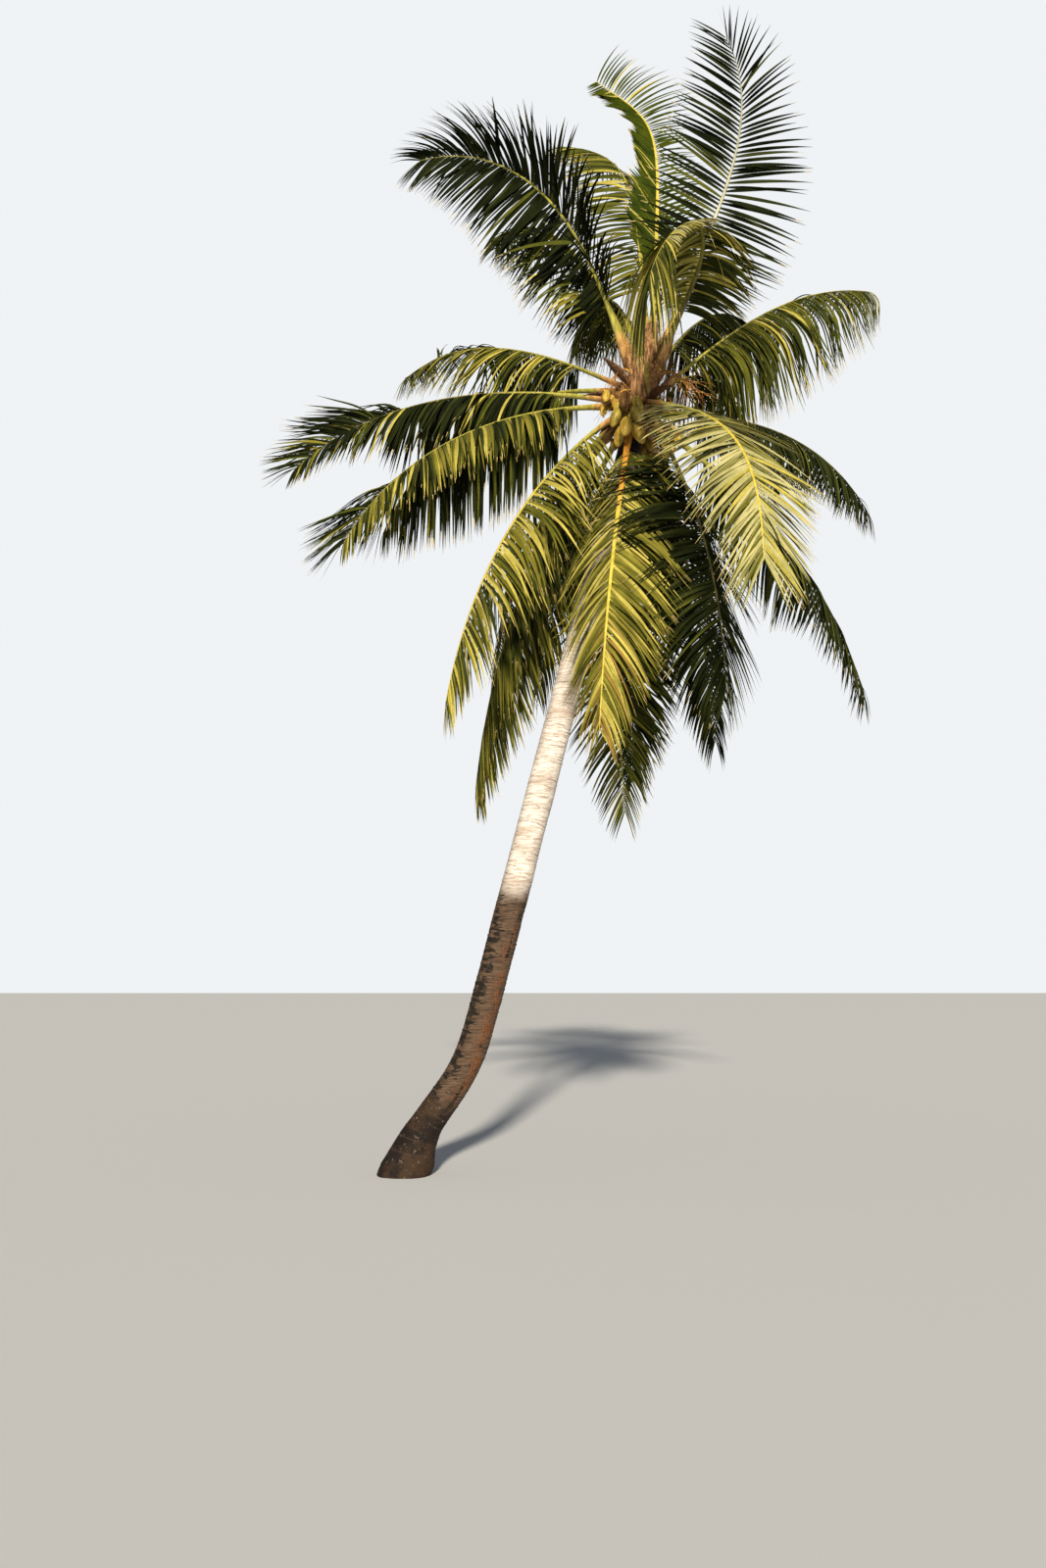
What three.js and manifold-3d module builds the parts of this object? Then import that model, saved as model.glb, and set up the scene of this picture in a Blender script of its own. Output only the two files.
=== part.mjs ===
// Coconut palm: a leaning ringed trunk with a flared foot, a crown heart and a full crown of fronds.
// Millimetres, Z up. The flat cut under the trunk lies on z = 0 with its centre at the origin.
// Azimuth 0 points along +X, 90 along +Y. Each frond is one thin blade of the outline of its leaflets.
import * as THREE from 'three';
import Module from 'manifold-3d';

const wasm = await Module();
wasm.setup();

const RAD = Math.PI / 180;
const GAP = 0.3;
const BLADE_GAP = 0.6;
const SPLIT_GAP = 0.4;
const SLIVER = 0.12;

// trunk
const TRUNK_HEIGHT = 6950;
const TRUNK_LEAN = 14.5;
const FOOT_KICK = 0.46;
const FOOT_KICK_HEIGHT = 600;
const FOOT_KICK_SPREAD = 400;
const TRUNK_SWAY = 45;
const MID_RADIUS = 134;
const TOP_RADIUS = 100;
const TAPER_POWER = 3;
const FLARE = 90;
const FLARE_HEIGHT = 300;
const TRUNK_SIDES = 18;
const TRUNK_RINGS = 26;
const RING_CROWDING = 1.35;
const SLANT_STEP = 20;
const BARK_COLOR = 0x9a8c78;

// crown heart
const HEART_HEIGHT = 1050;
const HEART_LEAN = 9.6;
const HEART_NECK = 100;
const HEART_SWELL = 72;
const SWELL_POWER = 0.85;
const HEART_TIP = 45;
const HEART_SIDES = 16;
const HEART_RINGS = 7;
const SEAT_RADIUS = 160;
const SEAT_START = 45;
const SEAT_SPAN = 1000;
const HEART_COLOR = 0x8a5a30;

// frond blade
const STEPS = 60;
const BLADE_STATIONS = [0, 0.19, 0.22, 0.32, 0.45, 0.58, 0.72, 0.86, 1];
const PETIOLE_END = 0.2;
const PETIOLE_BASE = 42;
const PETIOLE_HALF = 24;
const STALK_EDGE = 14;
const STALK_SWELL = 4;
const RIB_THICK = 14;
const WING_THICK = 7;
const EDGE_THICK = 4;
const TIP_REACH = 260;
const TIP_LEAFLET = 110;
const LEAFLET_START = 0.55;
const LEAFLET_END = 0.42;
const LEAFLET_PEAK = 0.42;
const ANGLE_START = 74;
const ANGLE_END = 26;
const ANGLE_POWER = 1.3;
const MIN_TURN = 0.02;
const LEAF_COLOR = 0x5f7a2c;

// name, azimuth, rise at the base, bend down, bend power, swing, length, seat height share,
// longest leaflet, fold of the wings, hang of the leaflets, roll at the base, roll at the tip, split station
const FROND_ROWS = [
  ['frond_tall_right', -5, 72, 42, 1.5, -130, 2980, 0.75, 800, 15, 0.15, 55, 0, 0],
  ['frond_over_front', -33, 75, 153, 0.9, -129, 2970, 0.5, 720, 25, 0.45, 0, 0, 4],
  ['frond_tall_left', 158, 74, 74, 2.2, 0, 4000, 0.6, 850, 15, 0.35, -40, -75, 0],
  ['frond_front_mid', 253, -58, 22, 1.1, -5, 3600, 0.02, 850, 30, 0.4, 0, 0, 0],
  ['frond_front_right', -59, -26, 51, 1.4, -40, 3230, 0.16, 850, 10, 0.25, 0, 0, 0],
  ['frond_front_left', 203, -37, 43, 0.9, 4, 3600, 0.1, 850, 40, 0.5, 0, 0, 0],
  ['frond_upright_back', 90, 76, 50, 2.4, 55, 4200, 0.8, 800, 25, 0.35, 0, 0, 0],
  ['frond_spear', 70, 78, 42, 3.6, 119, 4400, 0.75, 750, 25, 0.15, 0, 100, 6],
  ['frond_left_high', 135, 36, 40, 2.0, -8, 4100, 0.42, 850, 60, 0.85, 0, 0, 0],
  ['frond_left_mid', 162, 16, 60, 1.7, 15, 3600, 0.26, 850, 62, 0.85, 0, 0, 0],
  ['frond_left_low', 205, -12, 52, 1.4, 0, 3400, 0.15, 850, 62, 0.85, 0, 0, 0],
  ['frond_right_high', 34, 44, 30, 2.0, 0, 4000, 0.35, 850, 60, 0.85, 0, 0, 0],
  ['frond_right_mid', 38, 14, 60, 2.4, 0, 3600, 0.18, 850, 60, 0.8, 0, 0, 0],
  ['frond_right_low', 30, -22, 50, 1.5, 0, 3750, 0.08, 850, 50, 0.7, 0, 0, 0],
  ['frond_low_right', -46, -60, 30, 1.1, 0, 3000, 0.05, 900, 20, 0.3, 0, 0, 0],
  ['frond_hanging', 115, -62, 20, 0.8, -55, 3800, 0.02, 850, 15, 0.3, 0, 0, 0],
  ['frond_low_left', 158, -42, 42, 0.7, 0, 3900, 0.06, 850, 45, 0.6, 0, 0, 0],
  ['frond_right_curled', 55, 37, 110, 2.2, 10, 3200, 0.35, 800, 50, 0.7, 0, 0, 5],
  ['frond_right_back', 58, 48, 40, 2.0, 0, 3400, 0.55, 800, 50, 0.7, 0, 0, 0],
  ['frond_back_high', 100, 60, 75, 1.6, 0, 3800, 0.65, 850, 50, 0.7, 0, 0, 5],
  ['frond_back_left', 140, 22, 80, 1.5, 0, 3800, 0.38, 850, 60, 0.8, 0, 0, 5],
  ['frond_back_mid', 78, 12, 80, 1.5, 0, 3800, 0.3, 850, 55, 0.8, 0, 0, 5],
  ['frond_back_lower', 122, -8, 74, 1.2, 0, 3700, 0.2, 850, 50, 0.7, 0, 0, 5],
  ['frond_back_low', 110, -15, 55, 1.2, 0, 3500, 0.16, 850, 45, 0.6, 0, 0, 0],
  ['frond_back_right', 60, -38, 42, 1.0, 0, 3400, 0.07, 850, 35, 0.5, 0, 0, 0],
  ['frond_back_hanging', 88, -56, 24, 0.9, 0, 3500, 0.03, 850, 30, 0.4, 0, 0, 0],
  ['frond_back_steep', 130, 66, 60, 2.0, -15, 3900, 0.7, 850, 30, 0.5, 0, 0, 0],
];
const FIELDS = ['name', 'azimuth', 'rise', 'bend', 'power', 'swing', 'length', 'seat',
  'leaflet', 'fold', 'hang', 'rollBase', 'rollTip', 'split'];
const FRONDS = FROND_ROWS.map((row) => Object.fromEntries(row.map((value, i) => [FIELDS[i], value])));

// The five points across a blade: which side, and the share of the leaflet's length.
const ACROSS = [[-1, 1], [-1, 0.5], [0, 0], [1, 0.5], [1, 1]];
const STALK_ACROSS = [-1, -0.6, 0, 0.6, 1];

// Sideways reach of the trunk axis at a height: a steady lean, with a kick just above the foot.
function trunkX(height) {
  const steps = 80;
  let x = 0;
  for (let i = 0; i < steps; i += 1) {
    const z = (height * (i + 0.5)) / steps;
    const kick = FOOT_KICK * Math.exp(-(((z - FOOT_KICK_HEIGHT) / FOOT_KICK_SPREAD) ** 2));
    x += ((Math.tan(TRUNK_LEAN * RAD) + kick) * height) / steps;
  }
  return x;
}

function trunkY(height) {
  return TRUNK_SWAY * Math.sin((Math.PI * height) / TRUNK_HEIGHT);
}

function trunkRadius(height) {
  const taper = 1 - (height / TRUNK_HEIGHT) ** TAPER_POWER;
  const flare = FLARE * Math.exp(-((height / FLARE_HEIGHT) ** 2));
  return TOP_RADIUS + (MID_RADIUS - TOP_RADIUS) * taper + flare;
}

// One level ring about an upright point, long along X where the axis leans.
function levelRing(x, y, z, radiusX, radiusY, sides) {
  const ring = [];
  for (let i = 0; i < sides; i += 1) {
    const turn = (2 * Math.PI * i) / sides;
    ring.push(new THREE.Vector3(x + radiusX * Math.cos(turn), y + radiusY * Math.sin(turn), z));
  }
  return ring;
}

// A closed solid from rings that run anticlockwise as seen from the end of the row. The first
// mirrored quads of each ring are split the other way, so that the two faces of a thin, twisted
// blade bend along the same lines.
function loft(rings, capPairs, mirrored = 0) {
  const size = rings[0].length;
  const points = rings.flat();
  const triangles = [];
  for (let r = 0; r + 1 < rings.length; r += 1) {
    for (let i = 0; i < size; i += 1) {
      const a = r * size + i;
      const b = r * size + ((i + 1) % size);
      if (i < mirrored) {
        triangles.push([a, b, a + size], [b, b + size, a + size]);
      } else {
        triangles.push([a, b, b + size], [a, b + size, a + size]);
      }
    }
  }
  const last = (rings.length - 1) * size;
  for (const [i, j, k] of capPairs) {
    triangles.push([i, k, j], [last + i, last + j, last + k]);
  }
  return { points, triangles };
}

// Cap triangles of a round ring, and of a blade section whose halves face each other.
function roundCap(size) {
  const list = [];
  for (let i = 1; i + 1 < size; i += 1) {
    list.push([0, i, i + 1]);
  }
  return list;
}

function bladeCap(size) {
  const list = [];
  for (let k = 0; k + 1 < size / 2; k += 1) {
    list.push([k, k + 1, size - 2 - k], [k, size - 2 - k, size - 1 - k]);
  }
  return list;
}

function toManifold({ points, triangles }) {
  const vertProperties = new Float32Array(points.flatMap((p) => [p.x, p.y, p.z]));
  const triVerts = new Uint32Array(triangles.flat());
  const mesh = new wasm.Mesh({ numProp: 3, vertProperties, triVerts });
  return new wasm.Manifold(mesh);
}

function toMesh(solid, name, color, roughness) {
  const { vertProperties, triVerts } = solid.getMesh();
  const geometry = new THREE.BufferGeometry();
  geometry.setAttribute('position', new THREE.BufferAttribute(new Float32Array(vertProperties), 3));
  geometry.setIndex(new THREE.BufferAttribute(new Uint32Array(triVerts), 1));
  geometry.computeVertexNormals();
  const material = new THREE.MeshStandardMaterial({ color, roughness, metalness: 0 });
  const mesh = new THREE.Mesh(geometry, material);
  mesh.name = name;
  return mesh;
}

function trunkSolid(extra) {
  const rings = [];
  for (let i = 0; i <= TRUNK_RINGS; i += 1) {
    const z = TRUNK_HEIGHT * (i / TRUNK_RINGS) ** RING_CROWDING;
    const radius = trunkRadius(z) + extra;
    const low = Math.max(z - SLANT_STEP, 0);
    const slant = (trunkX(z + SLANT_STEP) - trunkX(low)) / (z + SLANT_STEP - low);
    const stretch = Math.hypot(1, slant);
    rings.push(levelRing(trunkX(z), trunkY(z), z, radius * stretch, radius, TRUNK_SIDES));
  }
  return toManifold(loft(rings, roundCap(TRUNK_SIDES)));
}

// Axis point of the crown heart at a share of the span that carries the petioles.
function heartPoint(share) {
  const rise = share * SEAT_SPAN;
  return new THREE.Vector3(
    trunkX(TRUNK_HEIGHT) + rise * Math.tan(HEART_LEAN * RAD),
    0,
    TRUNK_HEIGHT + rise,
  );
}

function heartSolid(extra) {
  const rings = [];
  for (let i = 0; i <= HEART_RINGS; i += 1) {
    const share = i / HEART_RINGS;
    const axis = heartPoint((share * HEART_HEIGHT) / SEAT_SPAN);
    const swell = HEART_SWELL * Math.sin(Math.PI * share ** SWELL_POWER);
    const radius = HEART_NECK + (HEART_TIP - HEART_NECK) * share + swell + extra;
    const lift = i === 0 ? GAP : 0;
    rings.push(levelRing(axis.x, axis.y, axis.z + lift, radius, radius, HEART_SIDES));
  }
  return toManifold(loft(rings, roundCap(HEART_SIDES)));
}

// Directions of a frond at t: along the rib, to its right side and out of its upper face.
function frame(frond, t) {
  const u = t ** frond.power;
  const e = (frond.rise - frond.bend * u) * RAD;
  const a = (frond.azimuth + frond.swing * u) * RAD;
  const along = new THREE.Vector3(Math.cos(e) * Math.cos(a), Math.cos(e) * Math.sin(a), Math.sin(e));
  const side = new THREE.Vector3(Math.sin(a), -Math.cos(a), 0);
  const face = side.clone().cross(along);
  const roll = (frond.rollBase + (frond.rollTip - frond.rollBase) * u) * RAD;
  return {
    along,
    side: side.clone().multiplyScalar(Math.cos(roll)).addScaledVector(face, Math.sin(roll)),
    face: face.clone().multiplyScalar(Math.cos(roll)).addScaledVector(side, -Math.sin(roll)),
  };
}

// Point beside the axis of the heart, at the height of a frond's seat and on its side.
function seatPoint(frond, radius) {
  const azimuth = frond.azimuth * RAD;
  const point = heartPoint(frond.seat);
  point.x += radius * Math.cos(azimuth);
  point.y += radius * Math.sin(azimuth);
  return point;
}

function ribPoint(frond, t) {
  const point = seatPoint(frond, SEAT_RADIUS);
  const count = Math.max(1, Math.round(STEPS * t));
  for (let i = 0; i < count; i += 1) {
    const { along } = frame(frond, (t * (i + 0.5)) / count);
    point.addScaledVector(along, (frond.length * t) / count);
  }
  return point;
}

function leafletLength(frond, t) {
  const rise = Math.min(1, Math.max(0, (t - PETIOLE_END) / (LEAFLET_PEAK - PETIOLE_END)));
  const fall = Math.max(0, (t - LEAFLET_PEAK) / (1 - LEAFLET_PEAK));
  return frond.leaflet * (LEAFLET_START + (1 - LEAFLET_START) * Math.sin(rise * Math.PI * 0.5))
    * (1 - (1 - LEAFLET_END) * fall ** 2);
}

// Point at share s of the leaflet that leaves the rib at t on one side (-1 left, 1 right).
// It leaves at an angle to the rib, in the folded wing, and bends down towards the plumb line.
function leafletPoint(frond, base, t, hand, s, length) {
  const { along, side, face } = frame(frond, t);
  const fold = frond.fold * RAD;
  const share = Math.max(0, (t - PETIOLE_END) / (1 - PETIOLE_END));
  const angle = (ANGLE_START + (ANGLE_END - ANGLE_START) * share ** ANGLE_POWER) * RAD;
  const wing = side.multiplyScalar(hand * Math.cos(fold)).addScaledVector(face, -Math.sin(fold));
  const start = along.multiplyScalar(Math.cos(angle)).addScaledVector(wing, Math.sin(angle));
  const down = new THREE.Vector3(0, 0, -1);
  const open = start.angleTo(down);
  const turn = Math.max(MIN_TURN, frond.hang * open * s);
  const normal = down.clone().addScaledVector(start, -down.dot(start)).normalize();
  const reach = length * s;
  return base.clone()
    .addScaledVector(start, (reach * Math.sin(turn)) / turn)
    .addScaledVector(normal, (reach * (1 - Math.cos(turn))) / turn);
}

// One section of the blade: left edge, left half, rib, right half, right edge, as a closed ring.
function section(line, along, thick, extra) {
  const under = [];
  const upper = [];
  line.forEach((point, i) => {
    const from = line[Math.max(0, i - 1)];
    const to = line[Math.min(line.length - 1, i + 1)];
    const across = to.clone().sub(from).normalize();
    const normal = across.clone().cross(along).normalize();
    const spread = i === 0 ? -extra : i === line.length - 1 ? extra : 0;
    const middle = point.clone().addScaledVector(across, spread);
    upper.push(middle.clone().addScaledVector(normal, thick[i] + extra));
    under.push(middle.clone().addScaledVector(normal, -thick[i] - extra));
  });
  return [...under.reverse(), ...upper];
}

function bladeRings(frond, extra) {
  const thick = [EDGE_THICK, WING_THICK, RIB_THICK, WING_THICK, EDGE_THICK];
  const stalk = [0, 1, 2, 1, 0].map((k) => STALK_EDGE + k * STALK_SWELL);
  const rings = [];
  for (const t of BLADE_STATIONS) {
    const { along, side } = frame(frond, t);
    const base = t === 0 ? seatPoint(frond, SEAT_START) : ribPoint(frond, t);
    if (t < PETIOLE_END) {
      const half = PETIOLE_BASE + ((PETIOLE_HALF - PETIOLE_BASE) * t) / PETIOLE_END;
      const line = STALK_ACROSS.map((k) => base.clone().addScaledVector(side, k * half));
      rings.push(section(line, along, stalk, extra));
      continue;
    }
    const length = leafletLength(frond, t);
    const line = ACROSS.map(([hand, s]) => (
      hand === 0 ? base : leafletPoint(frond, base, t, hand, s, length)));
    rings.push(section(line, along, thick, extra));
  }
  const { along } = frame(frond, 1);
  const end = ribPoint(frond, 1).addScaledVector(along, TIP_REACH);
  const line = ACROSS.map(([hand, s]) => (
    hand === 0 ? end : leafletPoint(frond, end, 1, hand, s, TIP_LEAFLET)));
  rings.push(section(line, along, thick, extra));
  return rings;
}

function bladeSolid(rings) {
  const size = rings[0].length;
  return toManifold(loft(rings, bladeCap(size), size / 2 - 1));
}

// The blade of a frond, or its inner and outer part where it bends round a wide gap.
function bladeParts(frond) {
  const rings = bladeRings(frond, 0);
  if (!frond.split) {
    return [[frond.name, bladeSolid(rings)]];
  }
  const { along } = frame(frond, BLADE_STATIONS[frond.split]);
  const outer = rings.slice(frond.split);
  outer[0] = outer[0].map((p) => p.clone().addScaledVector(along, SPLIT_GAP));
  return [
    [`${frond.name}_inner`, bladeSolid(rings.slice(0, frond.split + 1))],
    [`${frond.name}_outer`, bladeSolid(outer)],
  ];
}

function largestBody(solid) {
  const bodies = solid.decompose();
  bodies.sort((a, b) => b.volume() - a.volume());
  return bodies[0];
}

function boxesMeet(a, b) {
  return [0, 1, 2].every((k) => a.min[k] < b.max[k] && b.min[k] < a.max[k]);
}

const tree = new THREE.Group();
tree.name = 'coconut_palm';
tree.add(toMesh(trunkSolid(0), 'trunk', BARK_COLOR, 0.9));
tree.add(toMesh(heartSolid(0), 'crown_heart', HEART_COLOR, 0.9));

// Each blade gives way to the trunk, the heart and the fronds placed before it, and loses the
// slivers that the cuts leave.
const placed = [trunkSolid(GAP), heartSolid(GAP)];
for (const frond of FRONDS) {
  const parts = bladeParts(frond);
  for (const [name, solid] of parts) {
    let blade = solid;
    for (const other of placed) {
      if (boxesMeet(blade.boundingBox(), other.boundingBox())) {
        blade = blade.subtract(other);
      }
    }
    tree.add(toMesh(largestBody(blade).simplify(SLIVER), name, LEAF_COLOR, 0.7));
  }
  placed.push(bladeSolid(bladeRings(frond, BLADE_GAP)), ...parts.map(([, solid]) => solid));
}

export default tree;
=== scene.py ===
import math

import bpy
import bmesh
import numpy as np
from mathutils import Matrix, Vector


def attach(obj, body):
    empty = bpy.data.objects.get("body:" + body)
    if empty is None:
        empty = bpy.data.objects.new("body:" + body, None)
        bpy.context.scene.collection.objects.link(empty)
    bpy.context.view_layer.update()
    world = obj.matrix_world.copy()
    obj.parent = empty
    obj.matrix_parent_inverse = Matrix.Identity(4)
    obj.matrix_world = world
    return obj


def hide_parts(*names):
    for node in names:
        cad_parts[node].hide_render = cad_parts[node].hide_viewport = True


# Coconut palm: ringed trunk, fibrous heart with young nuts, and 27 fronds of rib and leaflets.
# Metres, Z up, the centre of the trunk's foot at the origin. Azimuth 0 is +X, 90 is +Y.

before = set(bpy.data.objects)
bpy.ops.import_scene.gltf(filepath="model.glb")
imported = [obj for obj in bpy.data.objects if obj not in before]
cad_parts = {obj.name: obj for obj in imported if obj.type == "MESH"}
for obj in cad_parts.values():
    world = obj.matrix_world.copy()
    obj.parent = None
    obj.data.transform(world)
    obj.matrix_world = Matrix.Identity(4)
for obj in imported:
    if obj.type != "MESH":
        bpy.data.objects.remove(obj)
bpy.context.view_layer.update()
up = np.array([0.0, 0.0, 1.0])
down = -up


# small helpers for shapes

def unit(vectors):
    length = np.linalg.norm(vectors, axis=-1, keepdims=True)
    return vectors / np.maximum(length, 1e-9)


# the level direction of an azimuth in degrees
def level(azimuth):
    a = np.radians(azimuth)
    return np.stack([np.cos(a), np.sin(a), 0 * a], axis=-1)


def smoothStep(value, low, high):
    share = np.clip((value - low) / (high - low), 0, 1)
    return share * share * (3 - 2 * share)


# several rows of named values as one
def joinedRows(rows):
    return {key: np.concatenate([row[key] for row in rows]) for key in rows[0]}


# A smooth random field from 0 to 1. It repeats every whole u, so it closes round a trunk.
def softNoise(u, v, cellsRound, cellSize, seed):
    gridRows = 997
    grid = np.random.default_rng(seed).random((gridRows, cellsRound))
    x = (u % 1.0) * cellsRound
    y = v / cellSize + 400
    xi, yi = np.floor(x).astype(int), np.floor(y).astype(int)
    fx, fy = smoothStep(x - xi, 0, 1), smoothStep(y - yi, 0, 1)
    x0, x1, y0, y1 = xi % cellsRound, (xi + 1) % cellsRound, yi % gridRows, (yi + 1) % gridRows
    low = grid[y0, x0] * (1 - fx) + grid[y0, x1] * fx
    high = grid[y1, x0] * (1 - fx) + grid[y1, x1] * fx
    return low * (1 - fy) + high * fy


def linked(name, data):
    made = bpy.data.objects.new(name, data)
    bpy.context.scene.collection.objects.link(made)
    return made


def faceOutwards(mesh):
    work = bmesh.new()
    work.from_mesh(mesh)
    bmesh.ops.recalc_face_normals(work, faces=work.faces)
    work.to_mesh(mesh)
    work.free()


# faces of a tube of rings, closed at both ends
def tubeFaces(rows, cols, first):
    r, c = np.meshgrid(np.arange(rows - 1), np.arange(cols), indexing="ij")
    a = first + r * cols + c
    b = first + r * cols + (c + 1) % cols
    sides = np.stack([a, b, b + cols, a + cols], axis=-1).reshape(-1, 4)
    bottom = [first + i for i in reversed(range(cols))]
    top = [first + (rows - 1) * cols + i for i in range(cols)]
    return sides.tolist() + [bottom, top]


# Many closed tubes as one mesh object. Marks tell the number of each tube's material.
def tubesObject(name, tubes, materials, marks=None):
    points, faces, faceMarks, first = [], [], [], 0
    for rings, mark in zip(tubes, marks or [0] * len(tubes)):
        rows, cols = rings.shape[:2]
        own = tubeFaces(rows, cols, first)
        points.append(rings.reshape(-1, 3))
        faces += own
        faceMarks += [mark] * len(own)
        first += rows * cols
    mesh = bpy.data.meshes.new(name)
    mesh.from_pydata(np.vstack(points).tolist(), [], faces)
    for material in materials:
        mesh.materials.append(material)
    mesh.polygons.foreach_set("material_index", np.array(faceMarks, np.int32))
    mesh.polygons.foreach_set("use_smooth", np.ones(len(mesh.polygons), bool))
    faceOutwards(mesh)
    return linked(name, mesh)


def setAttribute(mesh, name, values):
    values = np.asarray(values, np.float32)
    kind, field = ("FLOAT_VECTOR", "vector") if values.shape[1:] == (3,) else ("FLOAT", "value")
    mesh.attributes.new(name, kind, "POINT").data.foreach_set(field, values.ravel())


# Small helpers for nodes. A wire is a node's output. It takes + - * / with numbers and with
# other wires, and each of them becomes a math node, so a tree's formulas read as formulas.

class wire:
    def __init__(self, socket):
        self.socket = socket
        self.tree = socket.id_data
        self.isVector = socket.type == "VECTOR"

    def __add__(self, other):
        return worked("ADD", self, other)

    def __radd__(self, other):
        return worked("ADD", other, self)

    def __sub__(self, other):
        return worked("SUBTRACT", self, other)

    def __rsub__(self, other):
        return worked("SUBTRACT", other, self)

    def __mul__(self, other):
        return worked("MULTIPLY", self, other)

    def __rmul__(self, other):
        return worked("MULTIPLY", other, self)

    def __truediv__(self, other):
        return worked("DIVIDE", self, other)


# A math node on numbers, or on vectors where one of the values is a vector.
def worked(operation, *values, clamp=False):
    wires = [value for value in values if isinstance(value, wire)]
    vectors = [value for value in wires if value.isVector]
    if not vectors:
        return output(wires[0].tree, "ShaderNodeMath", 0, dict(enumerate(values)),
                      operation=operation, use_clamp=clamp)
    if operation == "MULTIPLY" and len(vectors) == 1:
        factor = next(value for value in values if value is not vectors[0])
        return output(wires[0].tree, "ShaderNodeVectorMath", "Vector",
                      {0: vectors[0], "Scale": factor}, operation="SCALE")
    result = "Value" if operation == "DOT_PRODUCT" else "Vector"
    return output(wires[0].tree, "ShaderNodeVectorMath", result, dict(enumerate(values)),
                  operation=operation)


def sine(angle):
    return worked("SINE", angle)


def cosine(angle):
    return worked("COSINE", angle)


def addNode(tree, kind, inputs=None, **settings):
    made = tree.nodes.new(kind)
    for name, value in settings.items():
        setattr(made, name, value)
    for name, value in (inputs or {}).items():
        if isinstance(value, wire):
            tree.links.new(value.socket, made.inputs[name])
        else:
            made.inputs[name].default_value = value
    return made


def output(tree, kind, name, inputs=None, **settings):
    return wire(addNode(tree, kind, inputs, **settings).outputs[name])


def outputs(node):
    return {socket.name: wire(socket) for socket in node.outputs if socket.name}


def feed(value, socket):
    value.tree.links.new(value.socket, socket)


def separated(vector):
    return outputs(addNode(vector.tree, "ShaderNodeSeparateXYZ", {"Vector": vector}))


def mixed(factor, a, b):
    a, b = ((*color, 1) if isinstance(color, tuple) else color for color in (a, b))
    return output(factor.tree, "ShaderNodeMix", 2, {0: factor, 6: a, 7: b}, data_type="RGBA")


# 0 below the low value and 1 above the high one, with a soft edge
def band(value, low, high):
    return output(value.tree, "ShaderNodeMapRange", "Result", {
        "Value": value, "From Min": low, "From Max": high}, interpolation_type="SMOOTHSTEP")


def stretchedNoise(place, scale, detail, rough=0.55):
    spot = output(place.tree, "ShaderNodeMapping", "Vector", {"Vector": place, "Scale": scale})
    return output(place.tree, "ShaderNodeTexNoise", "Fac", {
        "Vector": spot, "Scale": 1.0, "Detail": detail, "Roughness": rough})


def objectPlace(tree):
    return output(tree, "ShaderNodeTexCoord", "Object")


def attribute(tree, name):
    return output(tree, "ShaderNodeAttribute", "Fac", attribute_name=name)


def newMaterial(name, roughness, shine):
    made = bpy.data.materials.new(name)
    made.use_nodes = True
    shader = made.node_tree.nodes["Principled BSDF"]
    shader.inputs["Roughness"].default_value = roughness
    shader.inputs["Specular IOR Level"].default_value = shine
    return made, made.node_tree, shader.inputs


def addBump(height, strength, distance, normal):
    feed(output(height.tree, "ShaderNodeBump", "Normal", {
        "Height": height, "Strength": strength, "Distance": distance}), normal)


# effects that several materials share

def newGroup(name, inputs, results):
    group = bpy.data.node_groups.new(name, "ShaderNodeTree")
    for labels, way in ((inputs, "INPUT"), (results, "OUTPUT")):
        for label, kind in labels.items():
            group.interface.new_socket(label, in_out=way, socket_type="NodeSocket" + kind)
    given = outputs(group.nodes.new("NodeGroupInput"))
    return group, given, group.nodes.new("NodeGroupOutput").inputs


def makeLeafGrain():
    group, given, result = newGroup(
        "leafGrain", {"Dark": "Color", "Light": "Color", "Veins": "Float"},
        {"Color": "Color", "Roughness": "Float", "Height": "Float"})
    place = objectPlace(group)
    mottle = stretchedNoise(place, (3, 3, 3), 3.0)
    fine = stretchedNoise(place, (45, 45, 45), 2.0)
    across = separated(output(group, "ShaderNodeUVMap", "UV", uv_map="UVMap"))["X"]
    vein = sine(across * given["Veins"])
    share = band(mottle * 0.7 + fine * 0.3 + vein * 0.06, 0.3, 0.7)
    feed(mixed(share, given["Dark"], given["Light"]), result["Color"])
    feed(fine * 0.3 + 0.5, result["Roughness"])
    feed(vein, result["Height"])
    return group


def makeFibreGrain():
    group, given, result = newGroup(
        "fibreGrain", {"Across": "Float", "Along": "Float"}, {"Mask": "Float", "Height": "Float"})
    scale = output(group, "ShaderNodeCombineXYZ", "Vector", {
        "X": given["Across"], "Y": given["Across"], "Z": given["Along"]})
    place = objectPlace(group)
    coarse = stretchedNoise(place, scale, 5.0, 0.65)
    fine = stretchedNoise(place, scale * 3.0, 4.0)
    feed(band(coarse, 0.35, 0.65), result["Mask"])
    feed(coarse + fine * 0.5, result["Height"])
    return group


leafGrain = makeLeafGrain()
fibreGrain = makeFibreGrain()


def grained(tree, group, **given):
    return outputs(addNode(tree, "ShaderNodeGroup", given, node_tree=group))


def leafMaterial(name, dark, light, roughness, shine):
    made, tree, shader = newMaterial(name, roughness, shine)
    grain = grained(tree, leafGrain, Dark=(*dark, 1), Light=(*light, 1), Veins=60.0)
    feed(grain["Color"], shader["Base Color"])
    feed(grain["Roughness"] + (roughness - 0.15), shader["Roughness"])
    addBump(grain["Height"], 0.25, 0.002, shader["Normal"])
    return made


# Across and along are the noise cells in a metre, and depth is the height of the bump.
def fibreMaterial(name, dark, light, across, along, roughness, depth):
    made, tree, shader = newMaterial(name, roughness, 0.3)
    grain = grained(tree, fibreGrain, Across=across, Along=along)
    feed(mixed(grain["Mask"], dark, light), shader["Base Color"])
    addBump(grain["Height"], 0.6, depth, shader["Normal"])
    return made


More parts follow.
